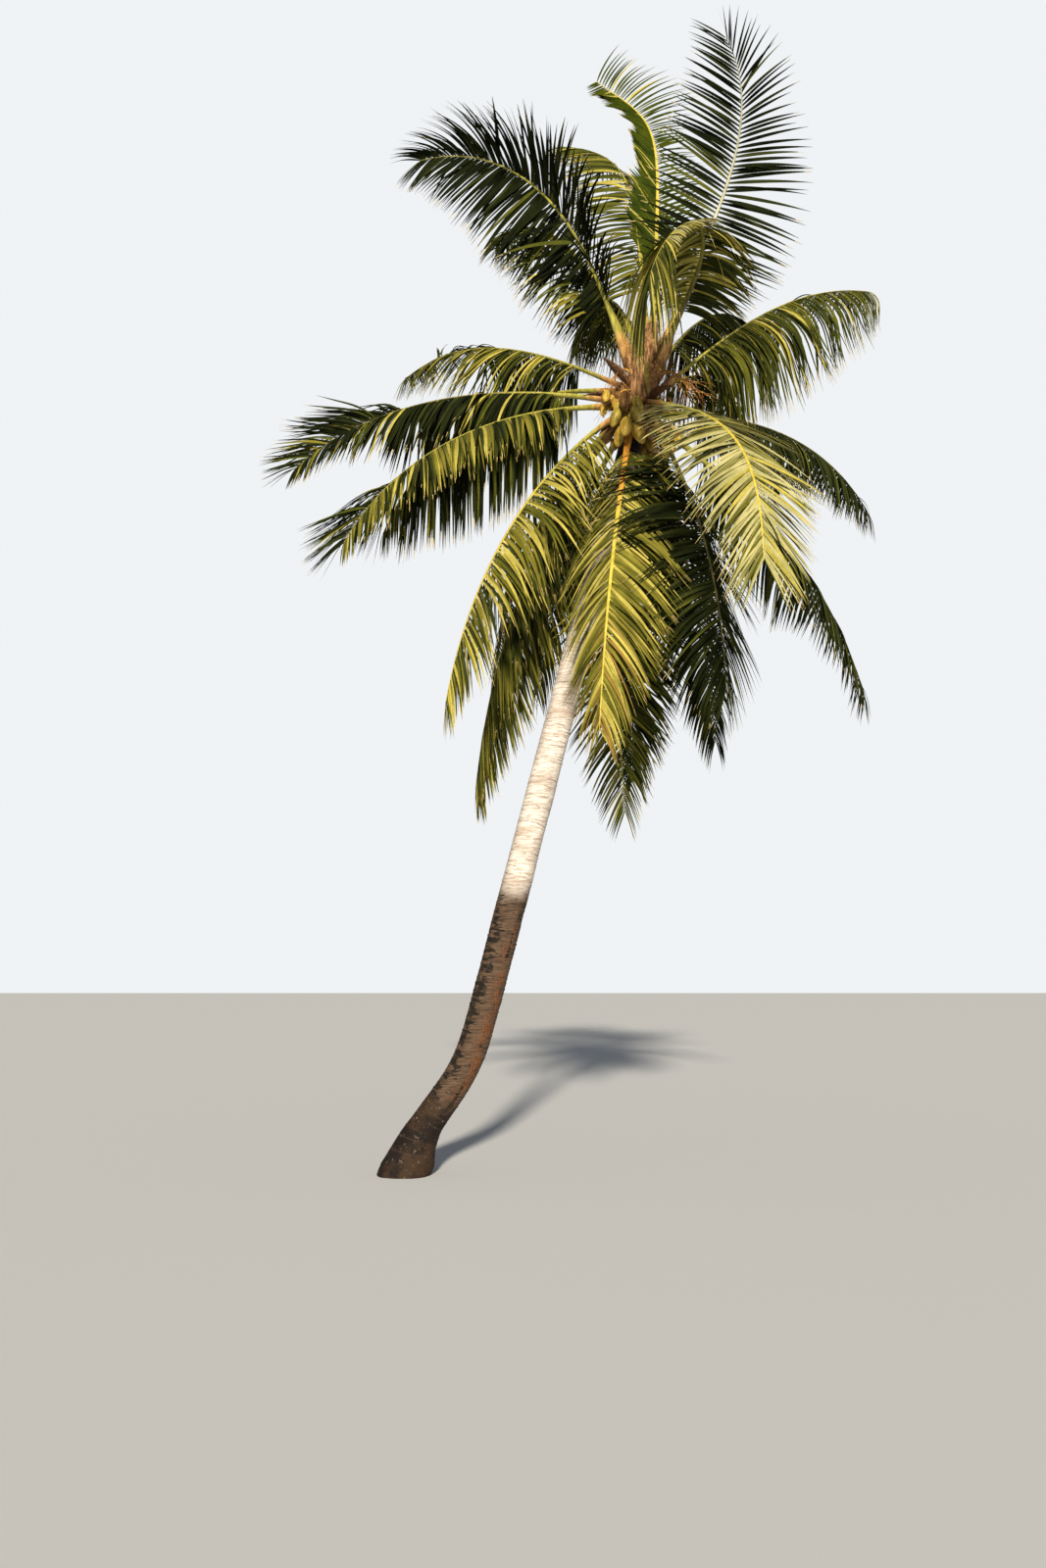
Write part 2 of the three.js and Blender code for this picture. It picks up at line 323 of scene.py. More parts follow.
# Dark and light colour, roughness and shine of each leaf finish. The grain adds 0.35 to 0.65
# to the roughness, so these leaves are nearly matt.
# Painted light: the sunny finishes stand in for sunlight on the leaflets, and the darker copies and the
# darkest finishes are painted shade.
leafColors = {
    "leafSunny": ((0.23, 0.205, 0.025), (0.48, 0.42, 0.085), 0.40, 0.5),
    "leafSunnyShade": ((0.050, 0.056, 0.005), (0.12, 0.118, 0.012), 0.50, 0.2),
    "leafOlive": ((0.090, 0.088, 0.008), (0.21, 0.185, 0.023), 0.46, 0.3),
    # painted sheen: a paler, whiter green that stands in for sun glancing off the leaflets
    "leafPaleSheen": ((0.24, 0.235, 0.070), (0.47, 0.44, 0.19), 0.34, 0.7),
    "leafPaleInShade": ((0.10, 0.10, 0.018), (0.21, 0.20, 0.048), 0.36, 0.5),
    "leafGreen": ((0.036, 0.046, 0.004), (0.095, 0.100, 0.010), 0.50, 0.2),
    "leafGreenShade": ((0.013, 0.019, 0.002), (0.036, 0.043, 0.006), 0.50, 0.2),
    "leafShade": ((0.005, 0.008, 0.002), (0.015, 0.020, 0.004), 0.52, 0.1),
    "leafDeepShade": ((0.003, 0.005, 0.002), (0.008, 0.011, 0.003), 0.52, 0.1),
    "leafYoung": ((0.024, 0.038, 0.001), (0.066, 0.080, 0.003), 0.48, 0.12),
    "leafYoungDeep": ((0.012, 0.024, 0.001), (0.036, 0.056, 0.003), 0.48, 0.12),
    "leafStraw": ((0.34, 0.26, 0.09), (0.52, 0.42, 0.18), 0.60, 0.3),
    "leafRust": ((0.17, 0.105, 0.020), (0.28, 0.18, 0.04), 0.60, 0.3),
}
leafFinish = {name: leafMaterial(name, *look) for name, look in leafColors.items()}


# The trunk: same axis and radius as the part's, with ring scars, cracks and a rough foot.
trunk = {
    "height": 6.95, "lean": 14.5, "kick": 0.46, "kickHeight": 0.6, "kickSpread": 0.4, "sway": 0.045,
    "midRadius": 0.134, "topRadius": 0.1, "taperPower": 3.0, "flare": 0.09, "flareHeight": 0.3,
    "around": 72, "along": 1300,
    "squareUp": 0.5,        # height over which the rings turn from level to square across the trunk
    "ringFrom": 0.12, "ringStep": 0.047, "ringStepFoot": 0.075, "ringDepth": 0.0032, "ringWidth": 0.0042,
    "ringTilt": 0.011, "ringWave": 0.006, "lipBelow": 0.012, "lipWidth": 0.010,
    "strongShare": 0.28, "strong": 1.7, "weak": 0.75,
    "lump": 0.006, "footRough": 0.014, "footReach": 0.45, "fineRough": 0.0016,
    "crackDepth": 0.004, "crackFrom": 0.72, "crackTo": 0.86, "oldTo": 1.8, "youngFrom": 3.2,
    "shadeTop": 2.96, "shadeLow": 2.02, "shadeBack": 0.5,      # where the pale bark turns grey, weathering together with painted shade
    # azimuths of the black and the rusty side, and how far they spread
    "blackSide": 226.0, "blackSpread": 46, "rustySide": 312.0, "rustySpread": 42,
}
bark = {
    "pale": ((0.50, 0.465, 0.43), (0.68, 0.65, 0.615)),
    "zone": (0.46, 0.385, 0.33), "streak": (0.37, 0.30, 0.25), "dash": (0.20, 0.14, 0.11),
    # grey: the lower bark, weathered and darkened further as painted shade
    "grey": ((0.026, 0.016, 0.010), (0.118, 0.076, 0.049)),
    "rust": ((0.070, 0.029, 0.012), (0.15, 0.062, 0.025)),
    # groove: painted shade in the ring grooves
    "black": (0.010, 0.008, 0.006), "groove": (0.10, 0.065, 0.045),
    "foot": ((0.008, 0.005, 0.004), (0.034, 0.019, 0.010)), "crust": (0.17, 0.145, 0.12),
}
# scale, detail and roughness of the noises in the bark
barkNoise = {
    "mottle": ((4, 4, 4), 6.0), "zone": ((1.2, 1.2, 7.5), 3.0), "streak": ((8, 8, 95), 6.0, 0.7),
    "dash": ((16, 16, 150), 4.0, 0.6), "tick": ((11, 11, 60), 3.0, 0.6),
    "grain": ((90, 90, 40), 5.0, 0.6), "speck": ((34, 34, 34), 5.0, 0.7),
}


def trunkAxis(height):
    erf = np.vectorize(math.erf)
    reach = trunk["kick"] * trunk["kickSpread"] * math.sqrt(math.pi) / 2
    start = (height - trunk["kickHeight"]) / trunk["kickSpread"]
    bend = reach * (erf(start) + math.erf(trunk["kickHeight"] / trunk["kickSpread"]))
    x = np.tan(np.radians(trunk["lean"])) * height + bend
    y = trunk["sway"] * np.sin(np.pi * height / trunk["height"])
    return np.stack([x, y, height + 0 * x], axis=-1)


def trunkRadius(height):
    taper = 1 - (height / trunk["height"]) ** trunk["taperPower"]
    flare = trunk["flare"] * np.exp(-((height / trunk["flareHeight"]) ** 2))
    return trunk["topRadius"] + (trunk["midRadius"] - trunk["topRadius"]) * taper + flare


# Relief of the leaf scars, and how deep in a groove each point is. The rings are wider apart
# at the foot, and some are stronger than others.
def ringScars(turn, height):
    t = trunk
    rng = np.random.default_rng(11)
    relief, groove = np.zeros_like(height), np.zeros_like(height)
    ringHeight, count = t["ringFrom"], 0
    while ringHeight < t["height"]:
        tilt = t["ringTilt"] * np.cos(2 * np.pi * turn - count * 2.4)
        wave = t["ringWave"] * (softNoise(turn, 0 * height + count * 7.0, 9, 1.0, 21) - 0.5)
        away = height - ringHeight - tilt - wave
        near = np.abs(away) < 0.05
        strength = (t["strong"] if rng.random() < t["strongShare"] else t["weak"]) * rng.uniform(0.7, 1.2)
        strength = strength * min(1.0, 0.15 + ringHeight)
        patchy = 0.25 + 0.75 * smoothStep(softNoise(turn, 0 * height + count * 3.0, 7, 1.0, 22), 0.25, 0.6)
        cut = np.where(near, np.exp(-((away / t["ringWidth"]) ** 2)), 0) * strength * patchy
        lip = np.where(near, np.exp(-(((away + t["lipBelow"]) / t["lipWidth"]) ** 2)), 0) * strength
        relief += t["ringDepth"] * (0.6 * lip - cut)
        groove = np.maximum(groove, cut)
        upper = min(1, ringHeight / t["height"] * 2)
        step = t["ringStepFoot"] + (t["ringStep"] - t["ringStepFoot"]) * upper
        ringHeight += step * rng.uniform(0.7, 1.3)
        count += 1
    return relief, np.clip(groove, 0, 1)


def barkMaterial():
    made, tree, shader = newMaterial("palmBark", 0.85, 0.25)
    place = objectPlace(tree)
    mottle, zone, streak, dash, tick, grain, speck = (
        stretchedNoise(place, *look) for look in barkNoise.values())
    groove, weatherAndShade, rusty, blackened, foot = (
        attribute(tree, name) for name in ("groove", "weatherAndShade", "rusty", "blackened", "foot"))
    color = mixed(band(mottle, 0.35, 0.65), *bark["pale"])
    color = mixed(band(zone, 0.52, 0.66), color, bark["zone"])
    color = mixed(band(streak, 0.38, 0.54), bark["streak"], color)
    color = mixed(band(dash, 0.57, 0.68), color, bark["dash"])
    grey = mixed(band(streak, 0.35, 0.65), *bark["grey"])
    # the lower bark turns grey: weathering together with painted shade
    color = mixed(band(weatherAndShade + mottle * 0.5, 0.58, 1.02), color, grey)
    rust = mixed(band(grain, 0.4, 0.6), *bark["rust"])
    color = mixed(band(rusty + (speck - 0.5) * 2.0, 0.40, 0.78), color, rust)
    color = mixed(band(blackened + (tick - 0.5) * 2.8, 0.54, 0.66), color, bark["black"])
    # dark brown at the foot, and painted shade at the top of the trunk under the heart
    brown = mixed(band(mottle, 0.4, 0.6), *bark["foot"])
    brown = mixed(band(speck, 0.61, 0.68), brown, bark["crust"])
    color = mixed(band(foot + (mottle - 0.5), 0.35, 0.65), color, brown)
    # painted shade in the ring grooves
    color = mixed(groove * 0.8 * band(grain, 0.3, 0.6), color, bark["groove"])
    feed(color, shader["Base Color"])
    addBump(streak * 0.6 + grain * 0.4, 0.7, 0.004, shader["Normal"])
    return made


# 1 at an azimuth in degrees, fading on both sides of it
def sideShare(angle, azimuth, spread):
    return np.exp(-(((np.degrees(angle) - azimuth + 180) % 360 - 180) / spread) ** 2)


def makeTrunk():
    t = trunk
    rows, cols = t["along"], t["around"]
    height, turn = np.meshgrid(np.linspace(0, t["height"], rows), np.arange(cols) / cols, indexing="ij")
    angle = 2 * np.pi * turn
    axis = trunkAxis(height[:, 0])
    full = np.arctan(np.gradient(axis[:, 0], height[:, 0]))
    tilt = full * smoothStep(height[:, 0], 0, t["squareUp"])
    relief, groove = ringScars(turn, height)
    lump = t["lump"] * (softNoise(turn, height, 5, 0.22, 31) - 0.5)
    low = np.exp(-((height / t["footReach"]) ** 2))
    rough = t["footRough"] * low * (softNoise(turn, height, 16, 0.09, 32) - 0.5)
    rough += 0.5 * t["footRough"] * low * (softNoise(turn, height, 34, 0.05, 33) - 0.5)
    older = 1 - smoothStep(height, t["oldTo"], t["youngFrom"])
    crack = smoothStep(softNoise(turn, height, 30, 0.16, 34), t["crackFrom"], t["crackTo"])
    crack = crack * (0.3 + 0.7 * older)
    fine = t["fineRough"] * (softNoise(turn, height, 48, 0.012, 35) - 0.5)
    radius = trunkRadius(height) + relief + lump + rough - t["crackDepth"] * crack + fine
    lengthX = radius / np.cos(full - tilt)[:, None]
    points = np.stack([
        axis[:, None, 0] + lengthX * np.cos(angle) * np.cos(tilt)[:, None],
        axis[:, None, 1] + radius * np.sin(angle),
        axis[:, None, 2] - lengthX * np.cos(angle) * np.sin(tilt)[:, None],
    ], axis=-1)
    piece = tubesObject("trunk_bark_mesh", [points], [barkMaterial()])
    patch = softNoise(turn, height, 13, 0.030, 36)
    blot = softNoise(turn, height, 9, 0.09, 37)
    black = sideShare(angle, t["blackSide"], t["blackSpread"]) * (
        smoothStep(height, 0.35, 0.7) * (1 - smoothStep(height, 2.0, 2.7)))
    rusty = sideShare(angle, t["rustySide"], t["rustySpread"]) * smoothStep(height, 0.3, 0.8)
    lower = height - t["shadeBack"] * (0.5 + 0.5 * np.sin(angle)) ** 2     # the grey, weathering together with painted shade, climbs higher at the back, away from the sun
    marks = {
        "groove": groove,
        "weatherAndShade": 1 - smoothStep(lower, t["shadeLow"], t["shadeTop"]),
        "rusty": rusty * (1 - smoothStep(height, 1.9, 2.5)) * (0.35 + 0.65 * blot),
        "blackened": np.maximum(black * (0.05 + 0.95 * smoothStep(patch, 0.3, 0.7)), 0.8 * crack * older),
        # darker at the foot, and painted shade at the top of the trunk under the heart
        "foot": np.maximum(1 - smoothStep(height, 0.30, 0.95), smoothStep(height, 6.35, 6.7)),
    }
    for name, values in marks.items():
        setAttribute(piece.data, name, values.ravel())
    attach(piece, "root")
    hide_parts("trunk")
    print("trunk", len(piece.data.polygons))


makeTrunk()


# The fronds. Directions and lengths repeat the part's, so each frond lies where its blade does.
frondShape = {
    "petioleEnd": 0.2, "leafletPeak": 0.42, "leafletStart": 0.72, "leafletEnd": 0.42,
    "angleStart": 74.0, "angleEnd": 26.0, "anglePower": 1.3,
    "seatRadius": 0.16, "seatStart": 0.05, "heartLean": 9.6, "heartSpan": 1.0,
    "step": 0.034, "sheetStep": 0.020,        # from one leaflet to the next along the rib
    "halfWidth": 0.0255, "steps": 240,
}
# Rise, bend, swing, fold and roll are degrees: rise at the base, bend down and swing round by
# the tip, fold of the leaflets below the rib's plane. Seat is the height on the heart.
frondFields = ("name", "azimuth", "rise", "bend", "power", "swing", "length", "seat", "leaflet",
               "fold", "hang", "rollBase", "rollTip", "curtain", "leaves", "rib", "nodes")
frondRows = [
    ("tall_right", -5, 72, 42, 1.5, -130, 2.98, 0.75, 0.8, 15, 0.15, 55, 0, 1, "dark", "pale", 1),
    ("over_front", -33, 75, 153, 0.9, -129, 2.97, 0.5, 0.72, 25, 0.45, 0, 0, 0.7, "sunlitMix", "arched", 2),
    ("tall_left", 158, 74, 74, 2.2, 0, 4.0, 0.6, 0.85, 15, 0.35, -40, -75, 1, "dark", "green", 1),
    ("front_mid", 253, -58, 22, 1.1, -5, 3.6, 0.02, 0.85, 30, 0.4, 0, 0, 0.7, "sunlitRusty", "orange", 1),
    ("front_right", -59, -26, 51, 1.4, -40, 3.23, 0.16, 0.85, 10, 0.25, 0, 0, 1, "pale", "yellow", 1),
    ("front_left", 203, -37, 43, 0.9, 4, 3.6, 0.1, 0.85, 40, 0.5, 0, 0, 0.7, "sunny", "yellow", 1),
    ("upright_back", 90, 76, 50, 2.4, 55, 4.2, 0.8, 0.8, 25, 0.35, 0, 0, 1, "mixed", "green", 1),
    ("spear", 70, 78, 42, 3.6, 119, 4.4, 0.75, 0.75, 25, 0.15, 0, 100, 1, "young", "yellow", 2),
    ("left_high", 135, 36, 40, 2.0, -8, 4.1, 0.42, 0.85, 60, 0.85, 0, 0, 0.5, "shadeWithGlints", "green", 1),
    ("left_mid", 162, 16, 60, 1.7, 15, 3.6, 0.26, 0.85, 62, 0.85, 0, 0, 0.5, "shadeWithGlints", "dark", 1),
    ("left_low", 205, -12, 52, 1.4, 0, 3.4, 0.15, 0.85, 62, 0.85, 0, 0, 0.5, "shadeWithGlints", "green", 1),
    ("right_high", 34, 44, 30, 2.0, 0, 4.0, 0.35, 0.85, 60, 0.85, 0, 0, 0.5, "mixed", "green", 1),
    ("right_mid", 38, 14, 60, 2.4, 0, 3.6, 0.18, 0.85, 60, 0.8, 0, 0, 0.5, "shaded", "dark", 1),
    ("right_low", 30, -22, 50, 1.5, 0, 3.75, 0.08, 0.85, 50, 0.7, 0, 0, 0.6, "shaded", "dark", 1),
    ("low_right", -46, -60, 30, 1.1, 0, 3.0, 0.05, 0.9, 20, 0.3, 0, 0, 0.8, "shaded", "dark", 1),
    ("hanging", 115, -62, 20, 0.8, -55, 3.8, 0.02, 0.85, 15, 0.3, 0, 0, 0.8, "mixed", "green", 1),
    ("low_left", 158, -42, 42, 0.7, 0, 3.9, 0.06, 0.85, 45, 0.6, 0, 0, 0.6, "mixed", "green", 1),
    ("right_curled", 55, 37, 110, 2.2, 10, 3.2, 0.35, 0.8, 50, 0.7, 0, 0, 0.6, "mixed", "green", 2),
    ("right_back", 58, 48, 40, 2.0, 0, 3.4, 0.55, 0.8, 50, 0.7, 0, 0, 0.6, "shadeWithGlints", "green", 1),
    ("back_high", 100, 60, 75, 1.6, 0, 3.8, 0.65, 0.85, 50, 0.7, 0, 0, 0.6, "mixed", "green", 2),
    ("back_left", 140, 22, 80, 1.5, 0, 3.8, 0.38, 0.85, 60, 0.8, 0, 0, 0.5, "mixed", "green", 2),
    ("back_mid", 78, 12, 80, 1.5, 0, 3.8, 0.3, 0.85, 55, 0.8, 0, 0, 0.5, "mixed", "green", 2),
    ("back_lower", 122, -8, 74, 1.2, 0, 3.7, 0.2, 0.85, 50, 0.7, 0, 0, 0.6, "mixed", "green", 2),
    ("back_low", 110, -15, 55, 1.2, 0, 3.5, 0.16, 0.85, 45, 0.6, 0, 0, 0.6, "mixed", "green", 1),
    ("back_right", 60, -38, 42, 1.0, 0, 3.4, 0.07, 0.85, 35, 0.5, 0, 0, 0.7, "shaded", "dark", 1),
    ("back_hanging", 88, -56, 24, 0.9, 0, 3.5, 0.03, 0.85, 30, 0.4, 0, 0, 0.8, "shaded", "dark", 1),
    ("back_steep", 130, 66, 60, 2.0, -15, 3.9, 0.7, 0.85, 30, 0.5, 0, 0, 0.8, "mixed", "green", 1),
]
fronds = [dict(zip(frondFields, row)) for row in frondRows]
frondGroups = {
    "front": ("front_mid", "front_right", "front_left", "low_right"),
    "top": ("tall_right", "over_front", "tall_left", "spear", "upright_back", "back_steep", "back_high"),
    "left": ("left_high", "left_mid", "left_low", "low_left"),
    "right": ("right_high", "right_mid", "right_low", "right_curled", "right_back", "hanging"),
    "back": ("back_left", "back_mid", "back_lower", "back_low", "back_right", "back_hanging"),
}

# the leaf finishes of a frond, and how many leaflets in a hundred take each. They paint the light on the
# frond: sunny, lit and the sunlit ones are painted sunlight, pale is a painted sheen, shaded, dark and the
# other darker ones are painted shade with a few bright leaflets as painted highlights, and mixed has some
# painted shade.
leafDresses = {
    "sunny": {"leafSunny": 29, "leafOlive": 23, "leafSunnyShade": 22, "leafGreenShade": 24, "leafStraw": 2},
    "pale": {"leafPaleSheen": 56, "leafPaleInShade": 26, "leafSunny": 8, "leafSunnyShade": 10},
    "sunlitRusty": {"leafSunny": 34, "leafOlive": 36, "leafSunnyShade": 30},
    "young": {"leafYoung": 46, "leafYoungDeep": 50, "leafSunny": 4},
    "sunlitMix": {"leafSunny": 46, "leafOlive": 30, "leafGreen": 24},
    "mixed": {"leafGreen": 42, "leafGreenShade": 32, "leafOlive": 20, "leafSunny": 6},
    "shaded": {"leafGreenShade": 42, "leafShade": 46, "leafGreen": 12},
    "shadeWithGlints": {"leafShade": 40, "leafDeepShade": 28, "leafGreenShade": 20, "leafGreen": 6, "leafOlive": 6},
    "lit": {"leafSunny": 17, "leafOlive": 25, "leafGreen": 20, "leafGreenShade": 20, "leafShade": 18},
    "shadeWithLitEdges": {"leafShade": 33, "leafDeepShade": 25, "leafGreenShade": 18, "leafGreen": 8, "leafOlive": 9,
              "leafSunny": 7},
    "dark": {"leafShade": 50, "leafDeepShade": 30, "leafGreenShade": 14, "leafGreen": 6},
}

# How some fronds differ. Spread adds degrees to the leaflets' angle from the rib, wide and
# longer scale them, step is the distance between them, loose scales their disorder, flat scales
# the crease along their middle, bare is the share of the rib without leaflets, and curtain the
# share of a leaflet that bends. Drooping makes all hang more. Raised is the fold of the far
# side's outer leaflets, from the share raisedFrom on. Near changes the side towards the camera:
# degrees off its fold, scale of its length, and a dress that paints sunlight and shade on it while
# the far side keeps the frond's painted shade. RustTip is the share of rusty leaflets near
# the tip, fanTip and curtainTip lengthen the last ones, and shortSide is the side (-1 or 1)
# with a short fan before the curtain.
frondLooks = {
    "tall_right": {"spread": 20, "wide": 0.80, "flat": 0.35, "longer": 1.1, "step": 0.038},
    "tall_left": {"spread": 12, "wide": 1.05, "longer": 1.12, "step": 0.020, "loose": 1.3},
    "upright_back": {"spread": 5, "wide": 1.1},
    "front_mid": {"spread": 2, "wide": 0.78, "curtain": 0.75, "flat": 0.6, "step": 0.020,
                  "rustTip": 0.25, "bare": 0.16, "loose": 1.4},
    "front_right": {"spread": 2, "wide": 0.85, "flat": 0.45, "step": 0.020, "fanTip": 1.5,
                    "bare": 0.13, "loose": 1.4},
    "front_left": {"spread": 14, "wide": 0.78, "drooping": 0.05, "bare": 0.13, "step": 0.027,
                   "loose": 1.9},
    "over_front": {"spread": 4, "wide": 0.75, "flat": 0.6, "curtainTip": 2.0, "step": 0.016,
                   "shortSide": -1},
    "low_right": {"spread": 24, "wide": 0.85, "longer": 1.22, "step": 0.020, "loose": 1.3},
    "low_left": {"wide": 0.9, "longer": 1.05, "step": 0.017, "loose": 1.4},
    "hanging": {"spread": 8, "wide": 0.85, "flat": 0.4, "loose": 1.3},
    "back_right": {"spread": 6, "step": 0.026, "bare": 0.14},
    "back_hanging": {"spread": 6, "step": 0.026, "bare": 0.14},
    "back_low": {"step": 0.028},
    "back_high": {"step": 0.028},
    "right_back": {"step": 0.026, "longer": 1.15},
    "spear": {"flat": 0.3},
    "left_high": {"raised": -40, "near": (10, 0.85, "lit"), "loose": 1.8, "longer": 1.1,
                  "step": 0.020, "wide": 0.78},
    "left_mid": {"raised": -72, "raisedFrom": 0.32, "near": (14, 0.8, "shadeWithLitEdges"), "loose": 2.0,
                 "longer": 1.06, "step": 0.015, "wide": 0.82},
    "left_low": {"raised": -45, "raisedFrom": 0.50, "near": (30, 0.68, "lit"), "loose": 2.0,
                 "longer": 1.06, "step": 0.015, "wide": 0.80},
    "right_high": {"raised": -10, "loose": 1.2, "longer": 1.35, "step": 0.019, "wide": 0.88},
    "right_mid": {"raised": -10, "step": 0.022, "wide": 0.8},
    "right_low": {"raised": -20, "step": 0.022, "wide": 0.8},
}

# disorder of the leaflets in a row: how far they wander in clumps and how much each one strays
leafletDraw = {
    "place": 0.0012, "angleClumps": 3.0, "angle": 1.6, "foldClumps": 5.0, "fold": 2.5, "foldSwap": 4.0,
    "hangClumps": 0.10, "hang": 0.05, "twist": 0.16, "twistClumps": 0.10, "twistRise": 0.30,
    "length": 0.97, "lengthSpread": 0.035, "width": 0.06, "keel": (0.25, 0.62),
    "strayShare": 0.04, "strayAngle": (-30, 18), "strayFold": (-30, 45),
    "dryShare": 0.55, "dryTip": (0.03, 0.13),
    "nearHang": 0.6, "farStep": 0.72, "farLonger": 1.12,     # the two sides of a frond with "near"
    "raisedSpan": 0.35, "raisedAngle": 14, "leastHang": 0.02,
}


def heartPoint(share):
    top = trunkAxis(np.array([trunk["height"]]))[0]
    rise = np.asarray(share, float) * frondShape["heartSpan"]
    lean = math.tan(math.radians(frondShape["heartLean"]))
    return np.stack([top[0] + rise * lean, 0 * rise, top[2] + rise], axis=-1)


# Along the rib, out of its right side, and out of its upper face, at shares t of its length.
def ribFrame(frond, t):
    u = t ** frond["power"]
    e = np.radians(frond["rise"] - frond["bend"] * u)
    a = np.radians(frond["azimuth"] + frond["swing"] * u)
    along = np.stack([np.cos(e) * np.cos(a), np.cos(e) * np.sin(a), np.sin(e)], axis=-1)
    side = np.stack([np.sin(a), -np.cos(a), 0 * a], axis=-1)
    face = np.cross(side, along)
    roll = np.radians(frond["rollBase"] + (frond["rollTip"] - frond["rollBase"]) * u)[..., None]
    return along, side * np.cos(roll) + face * np.sin(roll), face * np.cos(roll) - side * np.sin(roll)


def ribPoints(frond, t):
    fine = np.linspace(0, 1, frondShape["steps"] + 1)
    middle = (fine[1:] + fine[:-1]) / 2
    along = ribFrame(frond, middle)[0] * (frond["length"] / frondShape["steps"])
    path = np.vstack([np.zeros(3), np.cumsum(along, axis=0)])
    start = heartPoint(frond["seat"]) + frondShape["seatRadius"] * level(frond["azimuth"])
    return start + np.stack([np.interp(t, fine, path[:, k]) for k in range(3)], axis=-1)


def leafletLength(frond, t):
    s = frondShape
    rise = np.clip((t - s["petioleEnd"]) / (s["leafletPeak"] - s["petioleEnd"]), 0, 1)
    fall = np.maximum(0, (t - s["leafletPeak"]) / (1 - s["leafletPeak"]))
    return frond["leaflet"] * (s["leafletStart"] + (1 - s["leafletStart"]) * np.sin(rise * np.pi / 2)) \
        * (1 - (1 - s["leafletEnd"]) * fall ** 2)


# Slow wander along a row, so that neighbouring leaflets keep together in clumps.
def clumps(count, size, rng):
    knots = rng.normal(0, 1, int(count / size) + 3)
    place = np.arange(count) / size
    k = place.astype(int)
    f = smoothStep(place - k, 0.15, 0.85)
    return knots[k] * (1 - f) + knots[k + 1] * f


def disorder(part, count, size, rng):
    wander = leafletDraw[part + "Clumps"] * clumps(count, size, rng)
    return wander + rng.normal(0, leafletDraw[part], count)


# the share of a short open fan, which comes before the curtain at the end of a frond
def shortFan(share):
    return smoothStep(share, 0.46, 0.56) * (1 - smoothStep(share, 0.76, 0.84))


# Each of the next four functions changes the leaflets on one side of a rib. Share is where
# they stand along its leafy part.

def raiseOuter(row, frond, look, share):
    begin = look.get("raisedFrom", 0.30)
    outer = smoothStep(share, begin, begin + leafletDraw["raisedSpan"])
    row["fold"] += (look["raised"] - frond["fold"]) * outer
    row["hang"] *= 1 - 0.8 * outer
    row["angle"] += leafletDraw["raisedAngle"] * outer


def hangCurtain(row, look, hand, share):
    last = smoothStep(share, 0.42, 0.60)
    if hand == look["shortSide"]:
        fan = shortFan(share)
        row["length"] *= 1 - 0.35 * fan
        row["hang"] *= 1 - 0.6 * fan
        row["fold"] *= 1 - 0.8 * fan
        last = smoothStep(share, 0.78, 0.86)
    row["length"] *= 1 + (look["curtainTip"] - 1 + 0.35 * share ** 4) * last
    row["hang"] += 0.35 * last


# the side of a young frond whose leaflets are still pressed together, close to the rib
def pressTogether(row, share, rng):
    count = len(share)
    last = smoothStep(share, 0.85, 1)
    row["angle"] = 25 - 8 * share + 3 * clumps(count, 8, rng) + 45 * last
    row["fold"] = 6 + 4 * clumps(count, 8, rng)
    row["hang"] = 0.03 + 0 * row["hang"]
    row["twist"] *= 0.3
    row["width"] *= 0.85
    row["length"] *= 1.12 - 0.25 * share - 0.35 * last


# its other side: fine and open, with a fan at the end of the rib
def openFan(row, share, rng):
    fan = smoothStep(share, 0.6, 0.85)
    row["angle"] = 50 + 20 * fan + 3 * clumps(len(share), 5, rng)
    row["fold"] *= 1 - 0.8 * fan
    row["width"] *= 0.55 + 0.45 * fan
    row["length"] *= 0.85 + 0.80 * fan


# the finish of each leaflet in a row, as a number. On a frond with a curtain, painted shade falls on the
# hanging tip and on the short side's base, and a painted sheen on its short fan.
def leafletTints(dress, look, hand, share, finishes, rng):
    count = len(share)
    kinds = rng.choice(len(dress), count, p=np.array(list(dress.values())) / 100)
    tint = np.array([finishes.index(name) for name in dress], float)[kinds]
    if "rustTip" in look:
        rusty = rng.random(count) < look["rustTip"] * smoothStep(share, 0.5, 0.9)
        tint = np.where(rusty, finishes.index("leafRust"), tint)
    if "curtainTip" in look:
        short = hand == look["shortSide"]
        shady = smoothStep(share, 0.74, 0.84) + (1 - smoothStep(share, 0.3, 0.5)) * short
        shady = rng.random(count) < 0.7 * shady
        if short:
            tint = np.where(rng.random(count) < 0.7 * shortFan(share), finishes.index("leafPaleSheen"), tint)
        tint = np.where(shady, finishes.index("leafGreenShade"), tint)
    return tint


